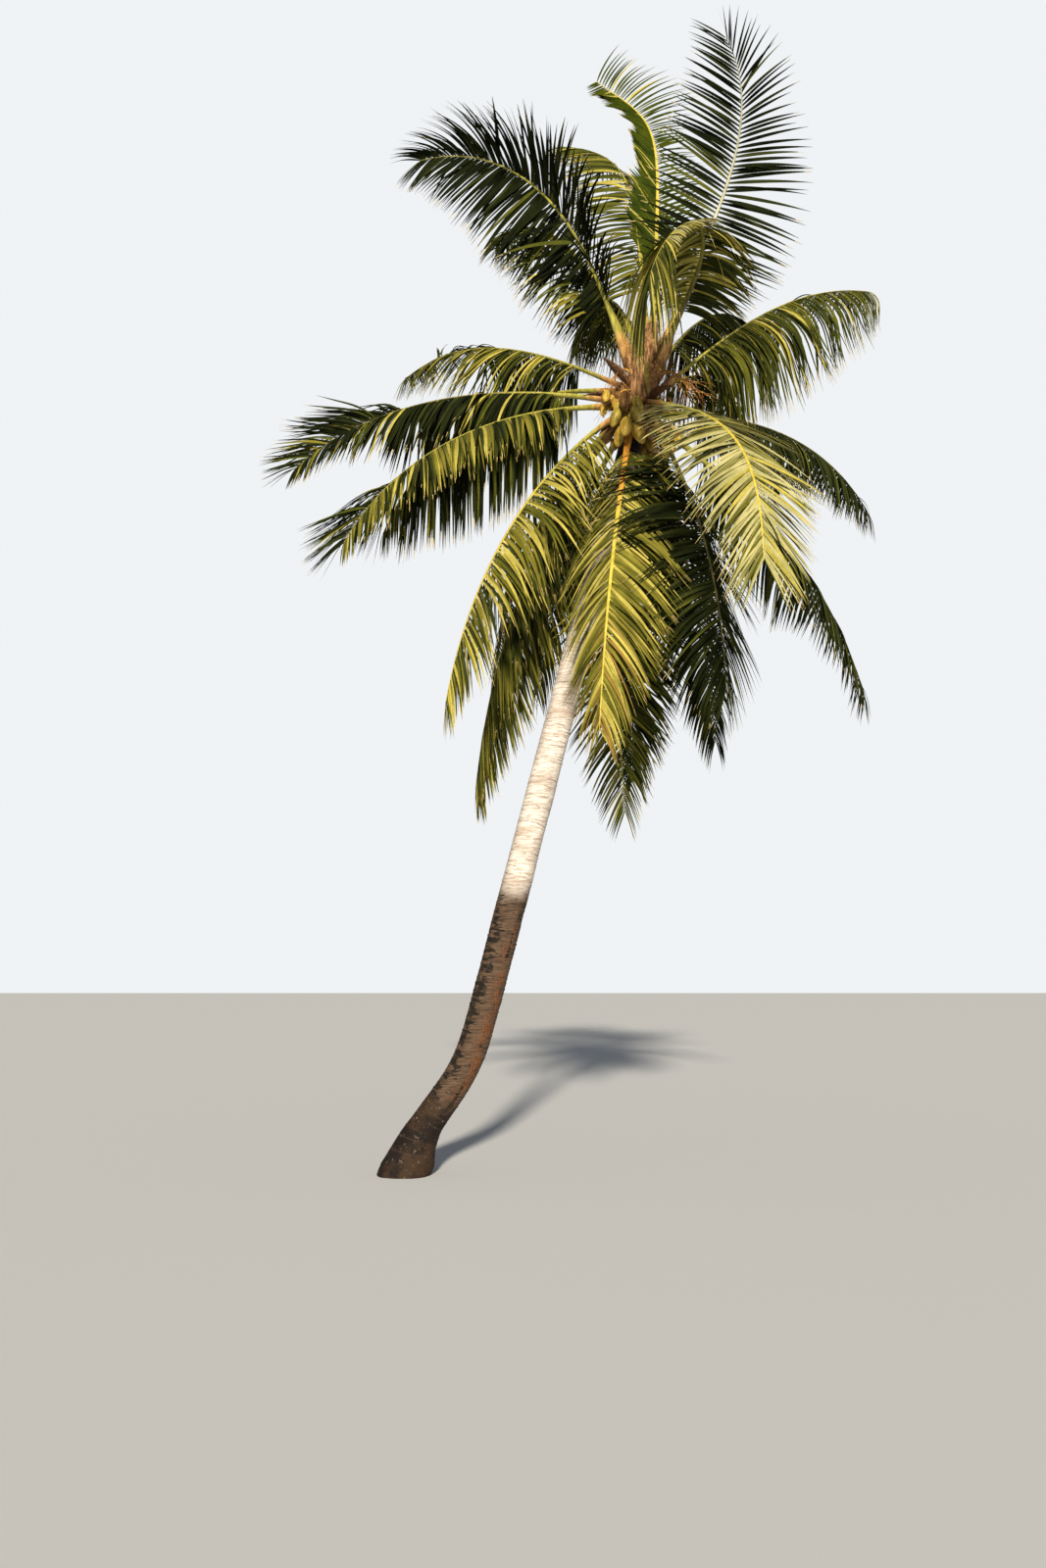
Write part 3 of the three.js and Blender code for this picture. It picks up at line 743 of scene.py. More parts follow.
# One row of leaflets on each side: where each starts, how it points, bends, hangs and twists.
def frondLeaflets(frond, finishes, rng):
    s, d = frondShape, leafletDraw
    look = frondLooks.get(frond["name"], {})
    bare = look.get("bare", s["petioleEnd"])
    loose = look.get("loose", 1.0)
    young = frond["leaves"] == "young"
    rows = []
    for hand in (-1, 1):
        sheet = young and hand == -1
        far = hand * ribFrame(frond, np.array([bare]))[1][0, 1] > 0
        near = None if far else look.get("near")
        curtained = far and "near" in look
        step = look.get("step", s["step"]) * (d["farStep"] if curtained else 1.0)
        count = int(frond["length"] * (1 - bare) / (s["sheetStep"] if sheet else step))
        t = bare + (1 - bare) * (np.arange(count) + 0.5 + 0.3 * hand) / count
        t = np.clip(t + rng.normal(0, d["place"], count), bare, 1)
        along, side, face = ribFrame(frond, t)
        share = np.maximum(0, (t - bare) / (1 - bare))
        angle = s["angleStart"] + (s["angleEnd"] - s["angleStart"]) * share ** s["anglePower"]
        angle = angle + look.get("spread", 0) * np.sin(np.pi * np.clip(share + 0.15, 0, 1)) ** 0.5
        angle = angle + loose * disorder("angle", count, 5, rng)
        fold = frond["fold"] + loose * disorder("fold", count, 6, rng) \
            + d["foldSwap"] * np.where(np.arange(count) % 2, 1, -1)
        hang = frond["hang"] * (1 + loose * disorder("hang", count, 7, rng))
        row = {"angle": angle, "fold": fold, "hang": hang}
        if near:
            row["fold"] -= near[0]
            row["hang"] *= d["nearHang"]
        if "raised" in look and far:
            raiseOuter(row, frond, look, share)
        row["hang"] = np.maximum(row["hang"], d["leastHang"]) + look.get("drooping", 0)
        stray = (rng.random(count) < d["strayShare"]) & (not young)
        row["angle"] = np.where(stray, row["angle"] + rng.uniform(*d["strayAngle"], count), row["angle"])
        row["fold"] = np.where(stray, row["fold"] + rng.uniform(*d["strayFold"], count), row["fold"])
        row["width"] = s["halfWidth"] * look.get("wide", 1.0) * (0.70 + 0.30 * np.sin(
            np.clip(share * 1.8, 0, 1) * np.pi / 2)) * (1 - 0.62 * share ** 2)
        row["length"] = leafletLength(frond, t) * np.clip(
            rng.normal(d["length"], d["lengthSpread"], count), 0.8, 1.03)
        keel = rng.uniform(*d["keel"], count) * look.get("flat", 1.0)
        row["twist"] = rng.normal(0, d["twist"], count) + d["twistClumps"] * clumps(count, 5, rng)
        row["length"] = row["length"] * look.get("longer", 1.0) * (
            near[1] if near else d["farLonger"] if curtained else 1.0)
        if "fanTip" in look:
            row["length"] *= 1 + (look["fanTip"] - 1) * smoothStep(share, 0.7, 1)
        if "curtainTip" in look:
            hangCurtain(row, look, hand, share)
        if sheet:
            pressTogether(row, share, rng)
        elif young:
            openFan(row, share, rng)
        a, f = np.radians(row["angle"])[:, None], np.radians(row["fold"])[:, None]
        wing = side * hand * np.cos(f) - face * np.sin(f)
        grow = unit(along * np.cos(a) + wing * np.sin(a))
        dress = leafDresses[near[2] if near else frond["leaves"]]
        rows.append({
            "root": ribPoints(frond, t) + side * hand * (0.012 * (1 - share))[:, None],
            "grow": grow, **hanging(grow, row["hang"], d["leastHang"]),
            "across": along * hand, "reach": row["length"],
            "tint": leafletTints(dress, look, hand, share, finishes, rng),
            "halfWidth": row["width"] * rng.normal(1, d["width"], count),
            "bendShare": np.full(count, float(look.get("curtain", frond["curtain"]))),
            "twist": row["twist"],
            "twistRise": rng.normal(0, d["twistRise"], count) * (0.3 if young else 1.0),
            "fold": keel,
            "dry": np.where(rng.random(count) < d["dryShare"], rng.uniform(*d["dryTip"], count), 0.0),
        })
    return joinedRows(rows)


# the direction in which a strip sags, and how far it bends towards plumb
def hanging(grow, hang, least):
    return {
        "drop": unit(down - grow * (grow @ down)[:, None]),
        "bend": np.maximum(least, hang * np.arccos(np.clip(grow @ down, -1, 1))),
    }


# what the three geometry trees share

def newTree(name, sizes, materials):
    tree = bpy.data.node_groups.new(name, "GeometryNodeTree")
    tree.is_modifier = True
    tree.interface.new_socket("Geometry", in_out="INPUT", socket_type="NodeSocketGeometry")
    for label, value in sizes.items():
        kind = "NodeSocketInt" if isinstance(value, int) else "NodeSocketFloat"
        tree.interface.new_socket(label, in_out="INPUT", socket_type=kind).default_value = value
    for label in materials:
        tree.interface.new_socket(label, in_out="INPUT", socket_type="NodeSocketMaterial")
    tree.interface.new_socket("Geometry", in_out="OUTPUT", socket_type="NodeSocketGeometry")
    return tree, outputs(tree.nodes.new("NodeGroupInput"))


def named(tree, name, kind="FLOAT"):
    return output(tree, "GeometryNodeInputNamedAttribute", "Attribute", {"Name": name}, data_type=kind)


def stored(geometry, name, value, kind, domain="POINT"):
    return output(geometry.tree, "GeometryNodeStoreNamedAttribute", "Geometry", {
        "Geometry": geometry, "Name": name, "Value": value}, data_type=kind, domain=domain)


# A copy of a mesh on every point, as real geometry, and X, Y and Z in the mesh's own shape.
def onePerPoint(points, mesh):
    own = output(mesh.tree, "GeometryNodeInputPosition", "Position")
    spread = output(mesh.tree, "GeometryNodeInstanceOnPoints", "Instances", {
        "Points": points, "Instance": stored(mesh, "ownPlace", own, "FLOAT_VECTOR")})
    real = output(mesh.tree, "GeometryNodeRealizeInstances", "Geometry", {"Geometry": spread})
    return real, separated(named(mesh.tree, "ownPlace", "FLOAT_VECTOR"))


def moved(geometry, spot):
    return output(geometry.tree, "GeometryNodeSetPosition", "Geometry", {
        "Geometry": geometry, "Position": spot})


def smoothed(geometry):
    return output(geometry.tree, "GeometryNodeSetShadeSmooth", 0, {"Geometry": geometry})


def painted(geometry, material, chosen=True):
    return output(geometry.tree, "GeometryNodeSetMaterial", "Geometry", {
        "Geometry": geometry, "Selection": chosen, "Material": material})


# each finish where the tint has its number
def paintedByTint(geometry, finishes, given):
    tint = named(geometry.tree, "tint")
    for k, finish in enumerate(finishes):
        chosen = worked("LESS_THAN", worked("ABSOLUTE", tint - float(k)), 0.5)
        geometry = painted(geometry, given[finish], chosen)
    return geometry


def finished(tree, geometry):
    feed(geometry, tree.nodes.new("NodeGroupOutput").inputs["Geometry"])
    return tree


# Centre line, width direction and face direction at share s of a strip that bends in one arc
# over its first part and then runs straight.
def bentStrip(tree, s):
    root, grow, drop, across = (
        named(tree, name, "FLOAT_VECTOR") for name in ("root", "grow", "drop", "across"))
    reach, bend, bendShare, twist, twistRise = (
        named(tree, name) for name in ("reach", "bend", "bendShare", "twist", "twistRise"))
    bent = worked("MINIMUM", s, bendShare)
    angle = bend * bent / bendShare
    arc = reach * bendShare / bend
    way = grow * cosine(angle) + drop * sine(angle)
    curve = grow * sine(angle) + drop * (1.0 - cosine(angle))
    centre = root + (curve * arc + way * (reach * (s - bent)))
    flat = worked("NORMALIZE", across - way * worked("DOT_PRODUCT", across, way))
    face = worked("CROSS_PRODUCT", way, flat)
    turn = twist + twistRise * s
    wide = flat * cosine(turn) + face * sine(turn)
    thick = face * cosine(turn) - flat * sine(turn)
    return centre, wide, thick


leafletStrip = {"Rows": 11, "Base Width": 0.45, "Widest At": 0.24, "Taper": 1.75, "Point Width": 0.05}


# One leaflet on every point: a folded strip, narrow at its base, widest near it and pointed.
def makeLeafletTree(finishes):
    tree, given = newTree("palmLeaflets", leafletStrip, finishes + ["Dry Tip"])
    grid = output(tree, "GeometryNodeMeshGrid", "Mesh", {
        "Size X": 1.0, "Size Y": 2.0, "Vertices X": given["Rows"], "Vertices Y": 3})
    real, own = onePerPoint(given["Geometry"], grid)
    s, v = worked("ADD", own["X"], 0.5, clamp=True), own["Y"]
    centre, wide, thick = bentStrip(tree, s)
    base, widest = given["Base Width"], given["Widest At"]
    swell = base + sine(math.pi / 2 * worked("DIVIDE", s, widest, clamp=True)) * (1.0 - base)
    past = worked("DIVIDE", s - widest, 1.0 - widest, clamp=True)
    taper = worked("MAXIMUM", 1.0 - worked("POWER", past, given["Taper"]), given["Point Width"])
    half = named(tree, "halfWidth") * (swell * taper)
    fold = named(tree, "fold")
    outward = v * half * cosine(fold)
    sunk = worked("ABSOLUTE", v) * half * sine(fold)
    last = moved(real, centre + (wide * outward + thick * sunk))
    uv = output(tree, "ShaderNodeCombineXYZ", "Vector", {"X": v * 0.5 + 0.5, "Y": s})
    last = smoothed(stored(last, "UVMap", uv, "FLOAT2", "CORNER"))
    last = paintedByTint(last, finishes, given)
    last = painted(last, given["Dry Tip"], worked("GREATER_THAN", s + named(tree, "dry"), 1.0))
    return finished(tree, last)


# Runs a tree on points that carry the given attributes and returns the plain mesh object.
def grown(name, tree, values, settings):
    seeds = bpy.data.meshes.new(name + "_seeds")
    seeds.from_pydata(values["root"].tolist(), [], [])
    for key, row in values.items():
        setAttribute(seeds, key, row)
    holder = linked(name + "_seeds", seeds)
    modifier = holder.modifiers.new("grow", "NODES")
    modifier.node_group = tree
    sockets = {item.name: item.identifier for item in tree.interface.items_tree
               if item.item_type == "SOCKET" and item.in_out == "INPUT"}
    for label, value in settings.items():
        modifier[sockets[label]] = value
    view = bpy.context.evaluated_depsgraph_get()
    mesh = bpy.data.meshes.new_from_object(holder.evaluated_get(view), depsgraph=view)
    bpy.data.objects.remove(holder)
    for spare in [a.name for a in mesh.attributes if a.name in values or a.name == "ownPlace"]:
        mesh.attributes.remove(mesh.attributes[spare])
    mesh.name = name
    return linked(name, mesh)


def frondNodes(frond):
    name = "frond_" + frond["name"]
    return [name] if frond["nodes"] == 1 else [name + "_inner", name + "_outer"]


def makeLeaflets():
    rng = np.random.default_rng(5)
    finishes = list(leafColors)
    tree = makeLeafletTree(finishes)
    settings = dict(leafFinish)
    settings["Dry Tip"] = leafFinish["leafStraw"]
    for group, names in frondGroups.items():
        members = [f for f in fronds if f["name"] in names]
        values = joinedRows([frondLeaflets(f, finishes, rng) for f in members])
        piece = grown("leaflets_" + group, tree, values, settings)
        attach(piece, "root")
        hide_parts(*[node for f in members for node in frondNodes(f)])
        print("leaflets", group, len(values["root"]), len(piece.data.polygons))


makeLeaflets()


# The ribs: a broad clasping base, a channelled stalk and a thin rib to the tip.
ribShape = {
    "stations": 64, "stationPower": 1.25,
    "shares": (0.0, 0.03, 0.07, 0.12, 0.2, 0.5, 1.0),
    "half": (0.084, 0.074, 0.050, 0.035, 0.026, 0.016, 0.003),
    "thick": (0.034, 0.040, 0.035, 0.029, 0.022, 0.012, 0.0025),
    # across and up shares of a section that is round below and slightly hollow above
    "outline": ((1.0, 0.35), (0.55, 0.55), (0.0, 0.30), (-0.55, 0.55), (-1.0, 0.35),
                (-0.8, -0.45), (-0.3, -0.95), (0.3, -0.95), (0.8, -0.45)),
    # where the base, the stalk and the rest blend in, as shares of the rib
    "blends": ((0.026, 0.050), (0.075, 0.125), (0.26, 0.42)),
}
ribColors = {
    "ribSheath": ((0.10, 0.045, 0.016), (0.30, 0.15, 0.05)),
    "ribTan": ((0.34, 0.17, 0.05), (0.58, 0.34, 0.12)),
    "ribOrange": ((0.42, 0.17, 0.02), (0.62, 0.30, 0.04)),
    "ribGreen": ((0.22, 0.22, 0.035), (0.40, 0.36, 0.07)),
    "ribYellow": ((0.44, 0.36, 0.045), (0.64, 0.52, 0.09)),
    # painted shade for the ribs of fronds in shade
    "ribShade": ((0.10, 0.095, 0.025), (0.22, 0.19, 0.05)),
    "ribPale": ((0.40, 0.40, 0.26), (0.58, 0.57, 0.42)),
}
# colour of the base, the stalk and the rest of each kind of rib. The dark kind's leafy part and the arched
# kind's stalk take painted shade.
ribLooks = {
    "orange": ("ribOrange", "ribOrange", "ribYellow"), "yellow": ("ribTan", "ribGreen", "ribYellow"),
    "arched": ("ribTan", "ribShade", "ribGreen"), "green": ("ribTan", "ribGreen", "ribGreen"),
    "dark": ("ribTan", "ribGreen", "ribShade"), "pale": ("ribTan", "ribGreen", "ribPale"),
}


# One finish along a whole rib: brown sheath, then its base, stalk and leafy part.
def ribMaterial(name, parts):
    made, tree, shader = newMaterial("rib_" + name, 0.45, 0.3)
    grain = grained(tree, fibreGrain, Across=30.0, Along=6.0)
    edge = stretchedNoise(objectPlace(tree), (40, 40, 9), 3.0, 0.6)
    share = attribute(tree, "share") + (edge - 0.5) * 0.09
    color = mixed(grain["Mask"], *ribColors["ribSheath"])
    for part, blend in zip(parts, ribShape["blends"]):
        color = mixed(band(share, *blend), color, mixed(grain["Mask"], *ribColors[part]))
    feed(color, shader["Base Color"])
    addBump(grain["Height"], 0.6, 0.0015, shader["Normal"])
    return made


def ribRings(frond, t):
    r = ribShape
    along, side, face = ribFrame(frond, t)
    points = ribPoints(frond, t)
    points[0] = heartPoint(frond["seat"]) + frondShape["seatStart"] * level(frond["azimuth"])
    half = np.interp(t, r["shares"], r["half"])
    thick = np.interp(t, r["shares"], r["thick"])
    return np.stack([points + side * (k * half)[:, None] + face * (m * thick)[:, None]
                     for k, m in r["outline"]], axis=1)


def makeRibs():
    finish = {name: ribMaterial(name, parts) for name, parts in ribLooks.items()}
    t = np.linspace(0, 1, ribShape["stations"]) ** ribShape["stationPower"]
    for group, names in frondGroups.items():
        members = [f for f in fronds if f["name"] in names]
        piece = tubesObject("ribs_" + group, [ribRings(f, t) for f in members], list(finish.values()),
                            [list(finish).index(f["rib"]) for f in members])
        setAttribute(piece.data, "share", np.tile(np.repeat(t, len(ribShape["outline"])), len(members)))
        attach(piece, "root")
    print("ribs")


makeRibs()


# The heart: a fibrous core under the sheaths of the leaf bases.
heart = {
    "height": 1.05, "neck": 0.1, "swell": 0.072, "swellPower": 0.85, "tip": 0.045,
    "rows": 160, "cols": 64, "rough": 0.016,
    "sheathBelow": 0.17, "sheathAbove": 0.10, "sheathSpan": 66.0, "sheathThick": 0.004,
    "sheathFlare": 0.045, "sheathTuck": 0.02, "sheathRows": 12, "sheathCols": 26,
    "fibres": 700,
    # dark and light colour, noise cells in a metre across and along, roughness, depth
    "core": ((0.050, 0.022, 0.009), (0.42, 0.23, 0.10), 60.0, 6.0, 0.9, 0.008),
    "woven": ((0.055, 0.023, 0.009), (0.50, 0.28, 0.12), 60.0, 9.0, 0.85, 0.004),
    "loose": ((0.12, 0.055, 0.02), (0.50, 0.30, 0.12), 40.0, 40.0, 0.8, 0.0005),
}


def heartRadius(share):
    h = heart
    share = np.clip(share, 0, 1)
    return h["neck"] + (h["tip"] - h["neck"]) * share + h["swell"] * np.sin(np.pi * share ** h["swellPower"])


# a point on the heart's surface, or further out by offset
def heartSurface(azimuth, height, offset=0.0):
    radius = np.asarray(heartRadius(height / heart["height"]) + offset)
    return heartPoint(height) + level(azimuth) * radius[..., None]


# A ragged sheath of woven fibre that wraps half round the heart at the base of a frond.
def sheathRings(frond, rng):
    h = heart
    a = np.linspace(-1, 1, h["sheathCols"])
    ragged = 0.7 + 0.5 * rng.random(h["sheathCols"]) - 0.25 * a ** 2
    layer = 0.006 + 0.010 * rng.random()
    rings = []
    for b in np.linspace(0, 1, h["sheathRows"]):
        azimuth = frond["azimuth"] + a * h["sheathSpan"] * (1 - 0.3 * b)
        height = frond["seat"] - h["sheathBelow"] + (h["sheathBelow"] + h["sheathAbove"]) * b * ragged
        flare = layer + h["sheathFlare"] * b ** 2 * (0.6 + 0.6 * ragged) - h["sheathTuck"] * (1 - b) ** 2
        outer = heartSurface(azimuth, height, flare)
        inner = heartSurface(azimuth, height, flare - h["sheathThick"])
        rings.append(np.vstack([outer, inner[::-1]]))
    return np.array(rings)


def makeHeart():
    rows, cols = heart["rows"], heart["cols"]
    share, turn = np.meshgrid(np.linspace(0, 1, rows), np.arange(cols) / cols, indexing="ij")
    height = share * heart["height"]
    rough = softNoise(turn, height, 40, 0.12, 41) - 0.5 + 0.7 * (softNoise(turn, height, 12, 0.2, 42) - 0.5)
    points = heartSurface(360 * turn, height, heart["rough"] * rough)
    piece = tubesObject("heart_core", [points], [fibreMaterial("heartFibre", *heart["core"])])
    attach(piece, "root")
    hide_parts("crown_heart")
    rng = np.random.default_rng(8)
    sheaths = tubesObject("heart_sheaths", [sheathRings(f, rng) for f in fronds],
                          [fibreMaterial("sheathFibre", *heart["woven"])])
    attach(sheaths, "root")
    print("heart")


makeHeart()


strandTube = {"Sides": 4, "Rows": 8, "Tip Share": 0.35, "Wave": 0.006, "Turns": 14.0}


# One thin tube on every point, bent and hung like a leaflet, with a slight wave along it.
def makeStrandTree():
    tree, given = newTree("palmStrands", strandTube, ["Finish"])
    tube = output(tree, "GeometryNodeMeshCylinder", "Mesh", {
        "Vertices": given["Sides"], "Side Segments": given["Rows"], "Radius": 1.0, "Depth": 1.0})
    real, own = onePerPoint(given["Geometry"], tube)
    s = worked("ADD", own["Z"], 0.5, clamp=True)
    centre, wide, thick = bentStrip(tree, s)
    thin = named(tree, "halfWidth") * (1.0 - s * (1.0 - given["Tip Share"]))
    turn = s * given["Turns"] + named(tree, "tint") * 6.28
    swing = given["Wave"] * s
    across = own["X"] * thin + swing * sine(turn)
    above = own["Y"] * thin + swing * cosine(turn)
    last = moved(real, centre + (wide * across + thick * above))
    return finished(tree, painted(smoothed(last), given["Finish"]))


def strandValues(root, grow, reach, thin, hang, rng):
    count = len(root)
    grow = unit(grow)
    sag = hanging(grow, hang, 0.03)
    across = unit(np.cross(grow, sag["drop"]) + 1e-4)
    return {
        "root": root, "grow": grow, **sag, "across": across, "reach": reach, "halfWidth": thin,
        "bendShare": np.ones(count), "twist": np.zeros(count), "twistRise": np.zeros(count),
        "tint": rng.random(count),
    }


# Where a strand is at share s of its length, for the fruit that sits on it.
def strandPoint(v, k, s):
    angle = v["bend"][k] * s
    arc = v["reach"][k] / v["bend"][k]
    return v["root"][k] + arc * (np.sin(angle) * v["grow"][k] + (1 - np.cos(angle)) * v["drop"][k])


def makeFibres(tree):
    rng = np.random.default_rng(12)
    count = heart["fibres"]
    azimuth, height = rng.uniform(0, 360, count), rng.uniform(0.0, 0.98, count)
    grow = level(azimuth) * rng.uniform(0.3, 1.0, count)[:, None] + 0.9 * up + rng.normal(0, 0.35, (count, 3))
    values = strandValues(heartSurface(azimuth, height, 0.004), grow, rng.uniform(0.07, 0.30, count),
                          rng.uniform(0.0008, 0.0020, count), rng.uniform(0.2, 0.8, count), rng)
    piece = grown("heart_fibres", tree, values, {
        "Sides": 3, "Rows": 6, "Wave": 0.012, "Finish": fibreMaterial("looseFibre", *heart["loose"])})
    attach(piece, "root")


# Stalks that carry flowers or nuts come out between the leaf bases.
stalkFields = ("azimuth", "height", "reach", "rise", "fall", "count", "length")    # of strands or nuts
flowerStalks = [dict(zip(stalkFields, row)) for row in (
    (-22, 0.44, 0.36, 0.34, 0.22, 30, 0.42),
    (200, 0.48, 0.22, 0.30, 0.14, 22, 0.30),
    (-64, 0.50, 0.18, 0.26, 0.10, 16, 0.26),
    (62, 0.40, 0.34, 0.30, 0.24, 28, 0.38),
    (128, 0.46, 0.32, 0.30, 0.22, 26, 0.36),
)]
nutStalks = [dict(zip(stalkFields, row)) for row in (
    (219, 0.30, 0.26, 0.02, 0.20, 7, 0.155),
    (250, 0.18, 0.33, 0.03, 0.24, 9, 0.215),
    (318, 0.24, 0.18, 0.03, 0.18, 4, 0.13),
    (22, 0.22, 0.24, 0.03, 0.30, 7, 0.16),
    (80, 0.20, 0.22, 0.03, 0.32, 9, 0.175),
    (132, 0.24, 0.21, 0.03, 0.22, 7, 0.15),
)]
stalkLook = {
    "thick": 0.016, "rows": 12, "sides": 8, "sunk": 0.03,
    "strandThin": 0.0032, "strandHang": 0.55,
    "bareStrands": 14, "bareThin": 0.0028, "bareHang": 0.6, "nutlets": 70,
    "finish": ((0.30, 0.14, 0.03), (0.58, 0.34, 0.08), 40.0, 12.0, 0.6, 0.002),
    "strandFinish": ((0.22, 0.075, 0.02), (0.50, 0.24, 0.07), 60.0, 60.0, 0.6, 0.0005),
}


def stalkPath(stalk, u):
    start = heartSurface(stalk["azimuth"], stalk["height"], -stalkLook["sunk"])
    u = np.asarray(u, float)[..., None]
    climb = stalk["rise"] * u - (stalk["rise"] + stalk["fall"]) * u ** 2
    return start + level(stalk["azimuth"]) * stalk["reach"] * u + up * climb


def stalkRings(stalk):
    look = stalkLook
    u = np.linspace(0, 1, look["rows"])
    path = stalkPath(stalk, u)
    along = unit(np.gradient(path, axis=0))
    side = unit(np.cross(along, up))
    face = np.cross(side, along)
    turn = np.arange(look["sides"])[None, :, None] * 2 * np.pi / look["sides"]
    thick = look["thick"] * (1 - 0.6 * u)[:, None, None]
    return path[:, None] + (side[:, None] * np.cos(turn) + face[:, None] * np.sin(turn)) * thick


nutEgg = {"Segments": 20, "Rings": 14, "Girth": 0.50, "Ridge": 0.07, "Cap Size": 0.40}


# One nut on every point: a slightly three-sided egg with a dry cap where the stalk meets it.
def makeNutTree(skins):
    tree, given = newTree("palmNuts", nutEgg, skins + ["Cap"])
    body = output(tree, "GeometryNodeMeshUVSphere", "Mesh", {
        "Segments": given["Segments"], "Rings": given["Rings"], "Radius": 1.0})
    cap = output(tree, "GeometryNodeMeshUVSphere", "Mesh", {"Segments": 10, "Rings": 6, "Radius": 1.0})
    flat = output(tree, "ShaderNodeCombineXYZ", "Vector", {
        "X": given["Cap Size"], "Y": given["Cap Size"], "Z": 0.17})
    cap = output(tree, "GeometryNodeTransform", "Geometry", {
        "Geometry": cap, "Translation": (0, 0, 0.88), "Scale": flat})
    joined = addNode(tree, "GeometryNodeJoinGeometry")
    for part, mark in ((body, 0.0), (cap, 1.0)):
        feed(stored(part, "isCap", mark, "FLOAT"), joined.inputs[0])
    real, own = onePerPoint(given["Geometry"], wire(joined.outputs[0]))
    x, y, z = own["X"], own["Y"], own["Z"]
    lobes = x * (x * x) - 3.0 * (x * (y * y))
    girth = (1.0 + given["Ridge"] * lobes) * (1.0 + 0.12 * z) * given["Girth"]
    aim, wide, root = (named(tree, name, "FLOAT_VECTOR") for name in ("aim", "wide", "root"))
    thick = worked("CROSS_PRODUCT", aim, wide)
    spot = wide * (x * girth) + thick * (y * girth) + aim * z
    last = smoothed(moved(real, root + spot * named(tree, "halfWidth")))
    last = paintedByTint(last, skins, given)
    last = painted(last, given["Cap"], worked("GREATER_THAN", named(tree, "isCap"), 0.5))
    return finished(tree, last)


def nutValues(root, aim, size, tint):
    aim = unit(aim)
    wide = unit(np.cross(aim, np.array([0.31, 0.83, 0.2])))
    return {"root": root, "aim": aim, "wide": wide, "halfWidth": size, "tint": tint.astype(float)}


# Nuts hang in rings of three round the end of a stalk.
def bunchNuts(stalk, rng):
    count, length = stalk["count"], stalk["length"]
    k = np.arange(count)
    ring = k // 3
    out = level((k % 3) * 120 + ring * 60 + rng.normal(0, 9, count) + stalk["azimuth"])
    rise = 0.25 * length - ring * 0.62 * length
    root = stalkPath(stalk, 1.0) + out * (0.50 * length) + up * rise[:, None]
    aim = -0.42 * out + up + rng.normal(0, 0.10, (count, 3))
    size = 0.5 * length * rng.uniform(0.88, 1.06, count)
    return nutValues(root, aim, size, rng.choice(3, count, p=[0.55, 0.33, 0.12]))


def makeStalks(strandTree, rng):
    look = stalkLook
    piece = tubesObject("fruit_stalks", [stalkRings(stalk) for stalk in flowerStalks + nutStalks],
                        [fibreMaterial("fruitStalk", *look["finish"])])
    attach(piece, "root")
    twigs = []
    for stalk in flowerStalks:
        count = stalk["count"]
        u = np.linspace(0.30, 1.0, count)
        root = stalkPath(stalk, u)
        ahead = unit(stalkPath(stalk, np.minimum(u + 0.05, 1.05)) - root)
        grow = ahead + 1.1 * rng.normal(0, 1, (count, 3)) * np.array([1, 1, 0.7])
        reach = stalk["length"] * rng.uniform(0.65, 1.05, count)
        twigs.append(strandValues(root, grow, reach, np.full(count, look["strandThin"]),
                                  look["strandHang"] * rng.uniform(0.7, 1.3, count), rng))
    for stalk in nutStalks:
        count = look["bareStrands"]
        root = np.repeat(stalkPath(stalk, 0.9)[None], count, axis=0)
        grow = level(stalk["azimuth"]) + rng.normal(0, 0.8, (count, 3))
        twigs.append(strandValues(root, grow, rng.uniform(0.12, 0.26, count),
                                  np.full(count, look["bareThin"]), np.full(count, look["bareHang"]), rng))
    values = joinedRows(twigs)
    piece = grown("flower_strands", strandTree, values, {
        "Sides": 4, "Rows": 10, "Wave": 0.010, "Turns": 22.0,
        "Finish": fibreMaterial("flowerStrand", *look["strandFinish"])})
    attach(piece, "root")
    return values


nutSkins = {
    "nutYellow": ((0.30, 0.19, 0.022), (0.62, 0.44, 0.08), 22.0, 7.0, 0.42, 0.0015),
    "nutOlive": ((0.16, 0.115, 0.016), (0.42, 0.32, 0.055), 22.0, 7.0, 0.42, 0.0015),
    "nutBrown": ((0.08, 0.034, 0.010), (0.26, 0.13, 0.035), 22.0, 7.0, 0.42, 0.0015),
}
nutCap = ((0.10, 0.045, 0.016), (0.30, 0.17, 0.06), 60.0, 60.0, 0.8, 0.001)


def makeNuts(strands, rng):
    tree = makeNutTree(list(nutSkins))
    finish = {name: fibreMaterial(name, *look) for name, look in nutSkins.items()}
    finish["Cap"] = fibreMaterial("nutCap", *nutCap)
    nuts = joinedRows([bunchNuts(stalk, rng) for stalk in nutStalks])
    count = stalkLook["nutlets"]
    chosen = rng.choice(sum(stalk["count"] for stalk in flowerStalks), count, replace=False)
    points = [strandPoint(strands, k, s) for k, s in zip(chosen, rng.uniform(0.1, 0.75, count))]
    small = nutValues(np.array(points), rng.normal(0, 0.4, (count, 3)) + up,
                      rng.uniform(0.007, 0.016, count), rng.choice(2, count))
    for name, values, segments, rings in (("coconuts", nuts, 22, 16), ("young_nutlets", small, 10, 7)):
        piece = grown(name, tree, values, dict(finish, Segments=segments, Rings=rings))
        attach(piece, "root")
    print("fruit", len(nuts["root"]))


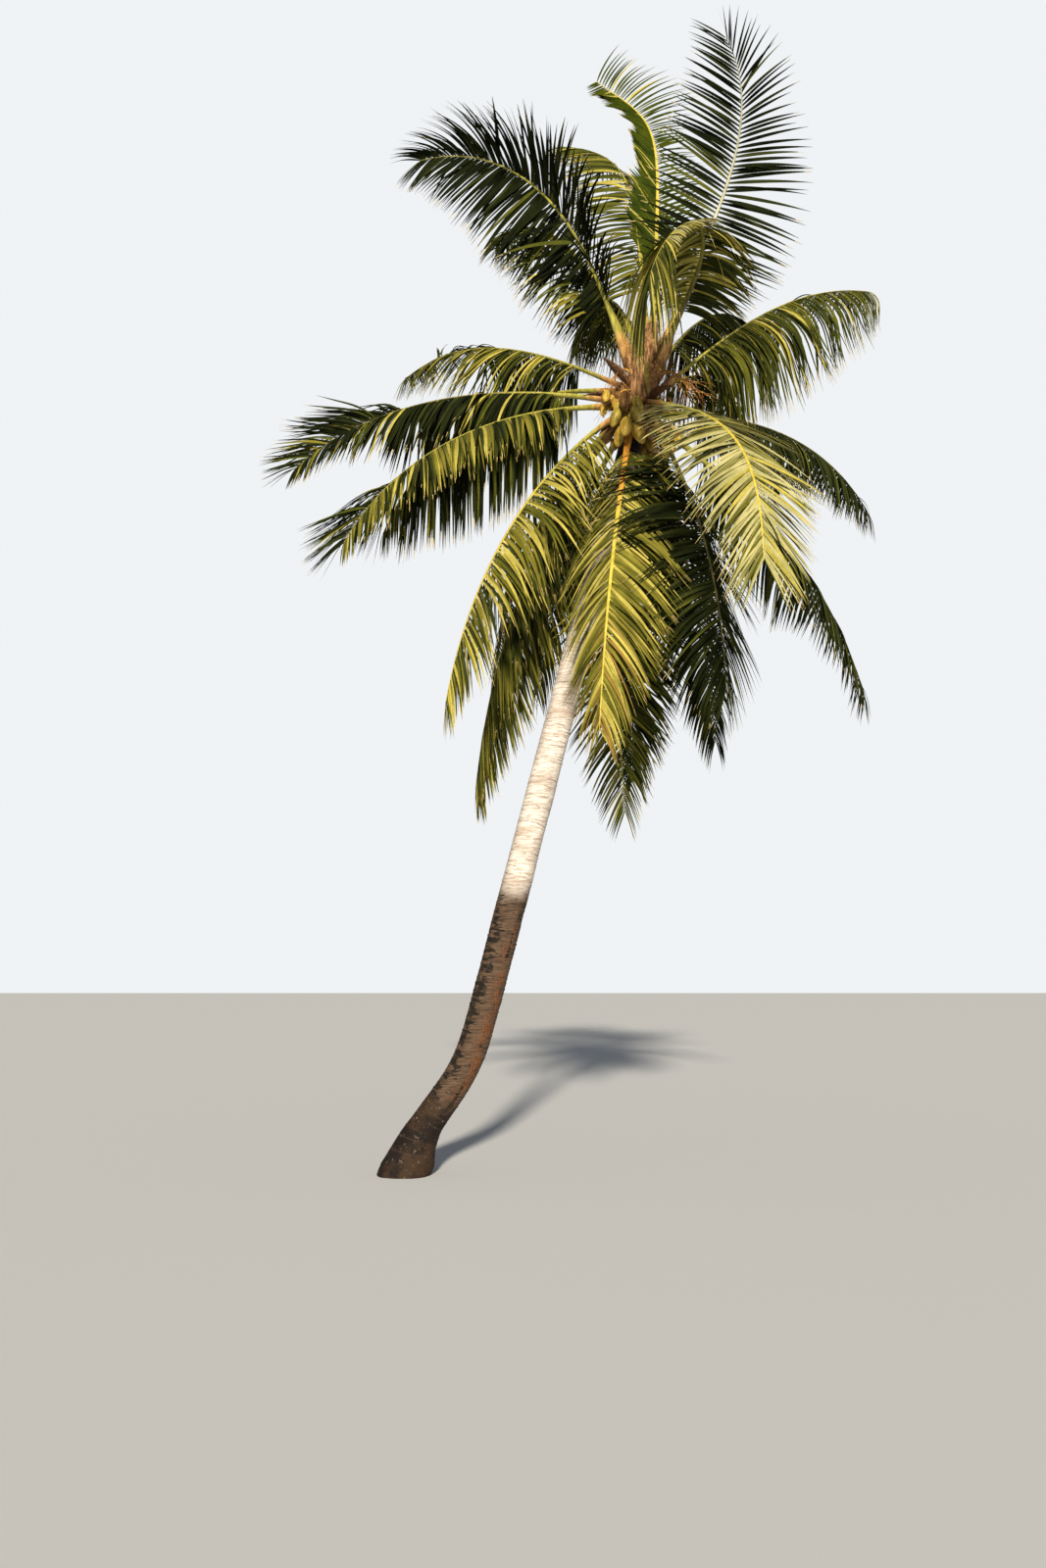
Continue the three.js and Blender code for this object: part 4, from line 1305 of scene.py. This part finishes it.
# Dry woody spathes: pointed boats that once wrapped the flower stalks.
# azimuth, height on the heart, length, rise at the base, bend down, half width, 1 for a green one
spatheRows = (
    (196, 0.20, 0.46, 28, 55, 0.046, 0), (-62, 0.12, 0.54, 34, 74, 0.058, 0),
    (-12, 0.24, 0.34, 62, 30, 0.036, 0), (-80, 0.10, 0.36, -20, 30, 0.040, 0),
    (70, 0.18, 0.50, 26, 60, 0.048, 0), (135, 0.14, 0.46, 20, 60, 0.046, 0),
    (210, 0.36, 0.38, 50, 34, 0.062, 0), (222, 0.16, 0.42, 5, 55, 0.060, 0),
    (232, 0.08, 0.36, -30, 40, 0.055, 0), (292, 0.08, 0.34, -25, 45, 0.055, 0),
    (176, 0.10, 0.34, -15, 45, 0.050, 0), (268, 0.62, 0.50, -58, 30, 0.034, 1),
    (255, 0.58, 0.36, 74, 10, 0.028, 1), (100, 0.60, 0.42, -55, 30, 0.034, 1),
)
spatheLook = {
    "rows": 20, "cols": 9, "thick": 0.004, "depth": 0.55, "curl": 1.25, "sunk": 0.02,
    "wood": ((0.030, 0.014, 0.008), (0.16, 0.075, 0.032), 60.0, 8.0, 0.6, 0.003),
    "green": ((0.10, 0.075, 0.015), (0.27, 0.21, 0.045), 60.0, 8.0, 0.55, 0.002),
}


def spatheRings(azimuth, height, length, rise, bend, half):
    look = spatheLook
    u = np.linspace(0, 1, look["rows"])
    e = np.radians(rise - bend * u)[:, None]
    out = level(azimuth)
    along = out * np.cos(e) + up * np.sin(e)
    start = heartSurface(azimuth, height, -look["sunk"])
    path = start + np.vstack([np.zeros(3), np.cumsum(along[:-1] * length / (look["rows"] - 1), axis=0)])
    side = np.array([out[1], -out[0], 0.0])
    face = np.cross(side, along)
    wide = half * (0.22 + 0.78 * np.sin(np.pi * np.clip(u * 0.92 + 0.04, 0, 1) ** 0.9))
    wide = (wide * (1 - 0.75 * u ** 6))[:, None, None]
    curl = np.linspace(-look["curl"], look["curl"], look["cols"])[None, :, None]
    outer = path[:, None] + side * (np.sin(curl) * wide) \
        - face[:, None] * (np.cos(curl) * wide * look["depth"])
    inner = outer + face[:, None] * look["thick"]
    return np.concatenate([outer, inner[:, ::-1]], axis=1)


def makeSpathes():
    wood = fibreMaterial("spatheWood", *spatheLook["wood"])
    green = fibreMaterial("spatheGreen", *spatheLook["green"])
    piece = tubesObject("dry_spathes", [spatheRings(*row[:6]) for row in spatheRows], [wood, green],
                        [row[6] for row in spatheRows])
    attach(piece, "root")
    print("spathes")


strandTree = makeStrandTree()
makeFibres(strandTree)
fruitDraw = np.random.default_rng(17)
makeNuts(makeStalks(strandTree, fruitDraw), fruitDraw)
makeSpathes()


# Floor, light and camera.
studio = {
    "floorSize": 4000.0, "floorColor": (0.86, 0.90, 0.96, 1),
    "skyColor": (0.90, 0.95, 1.0, 1), "skyStrength": 0.15,           # what lights the palm
    "backColor": (0.87, 0.89, 0.91, 1), "backStrength": 1.0,         # what the camera sees
    "sunWay": (0.04, 1.0, -0.28), "sunStrength": 6.2, "sunColor": (1.0, 0.88, 0.70), "sunSoft": 4.0,
}
photoCamera = {"place": (1.034, -11.0, 1.6), "pitch": 9.5, "lens": 28.0, "sensor": 36.0, "clipEnd": 400.0}


def makeStudio():
    half = studio["floorSize"] / 2
    mesh = bpy.data.meshes.new("studio_floor")
    corners = [(-half, -half, 0), (half, -half, 0), (half, half, 0), (-half, half, 0)]
    mesh.from_pydata(corners, [], [(0, 1, 2, 3)])
    made, tree, shader = newMaterial("studioFloor", 0.9, 0.2)
    shader["Base Color"].default_value = studio["floorColor"]
    mesh.materials.append(made)
    linked("studio_floor", mesh)
    sun = linked("softSun", bpy.data.lights.new("softSun", "SUN"))
    sun.data.energy = studio["sunStrength"]
    sun.data.color = studio["sunColor"]
    sun.data.angle = math.radians(studio["sunSoft"])
    sun.rotation_euler = Vector(studio["sunWay"]).to_track_quat("-Z", "Y").to_euler()
    world = bpy.data.worlds.new("paleSky")
    world.use_nodes = True
    tree = world.node_tree
    light = tree.nodes["Background"]
    light.inputs["Color"].default_value = studio["skyColor"]
    light.inputs["Strength"].default_value = studio["skyStrength"]
    back = output(tree, "ShaderNodeBackground", 0, {
        "Color": studio["backColor"], "Strength": studio["backStrength"]})
    seen = output(tree, "ShaderNodeLightPath", "Is Camera Ray")
    both = output(tree, "ShaderNodeMixShader", 0, {0: seen, 1: wire(light.outputs[0]), 2: back})
    feed(both, tree.nodes["World Output"].inputs["Surface"])
    bpy.context.scene.world = world
    bpy.context.scene.view_settings.view_transform = "Standard"


def makeCamera():
    camera = linked("photoCamera", bpy.data.cameras.new("photoCamera"))
    camera.location = photoCamera["place"]
    camera.rotation_euler = (math.radians(90 + photoCamera["pitch"]), 0, 0)
    camera.data.lens = photoCamera["lens"]
    camera.data.sensor_width = photoCamera["sensor"]
    camera.data.sensor_fit = "AUTO"
    camera.data.clip_end = photoCamera["clipEnd"]
    bpy.context.scene.camera = camera


makeStudio()
makeCamera()
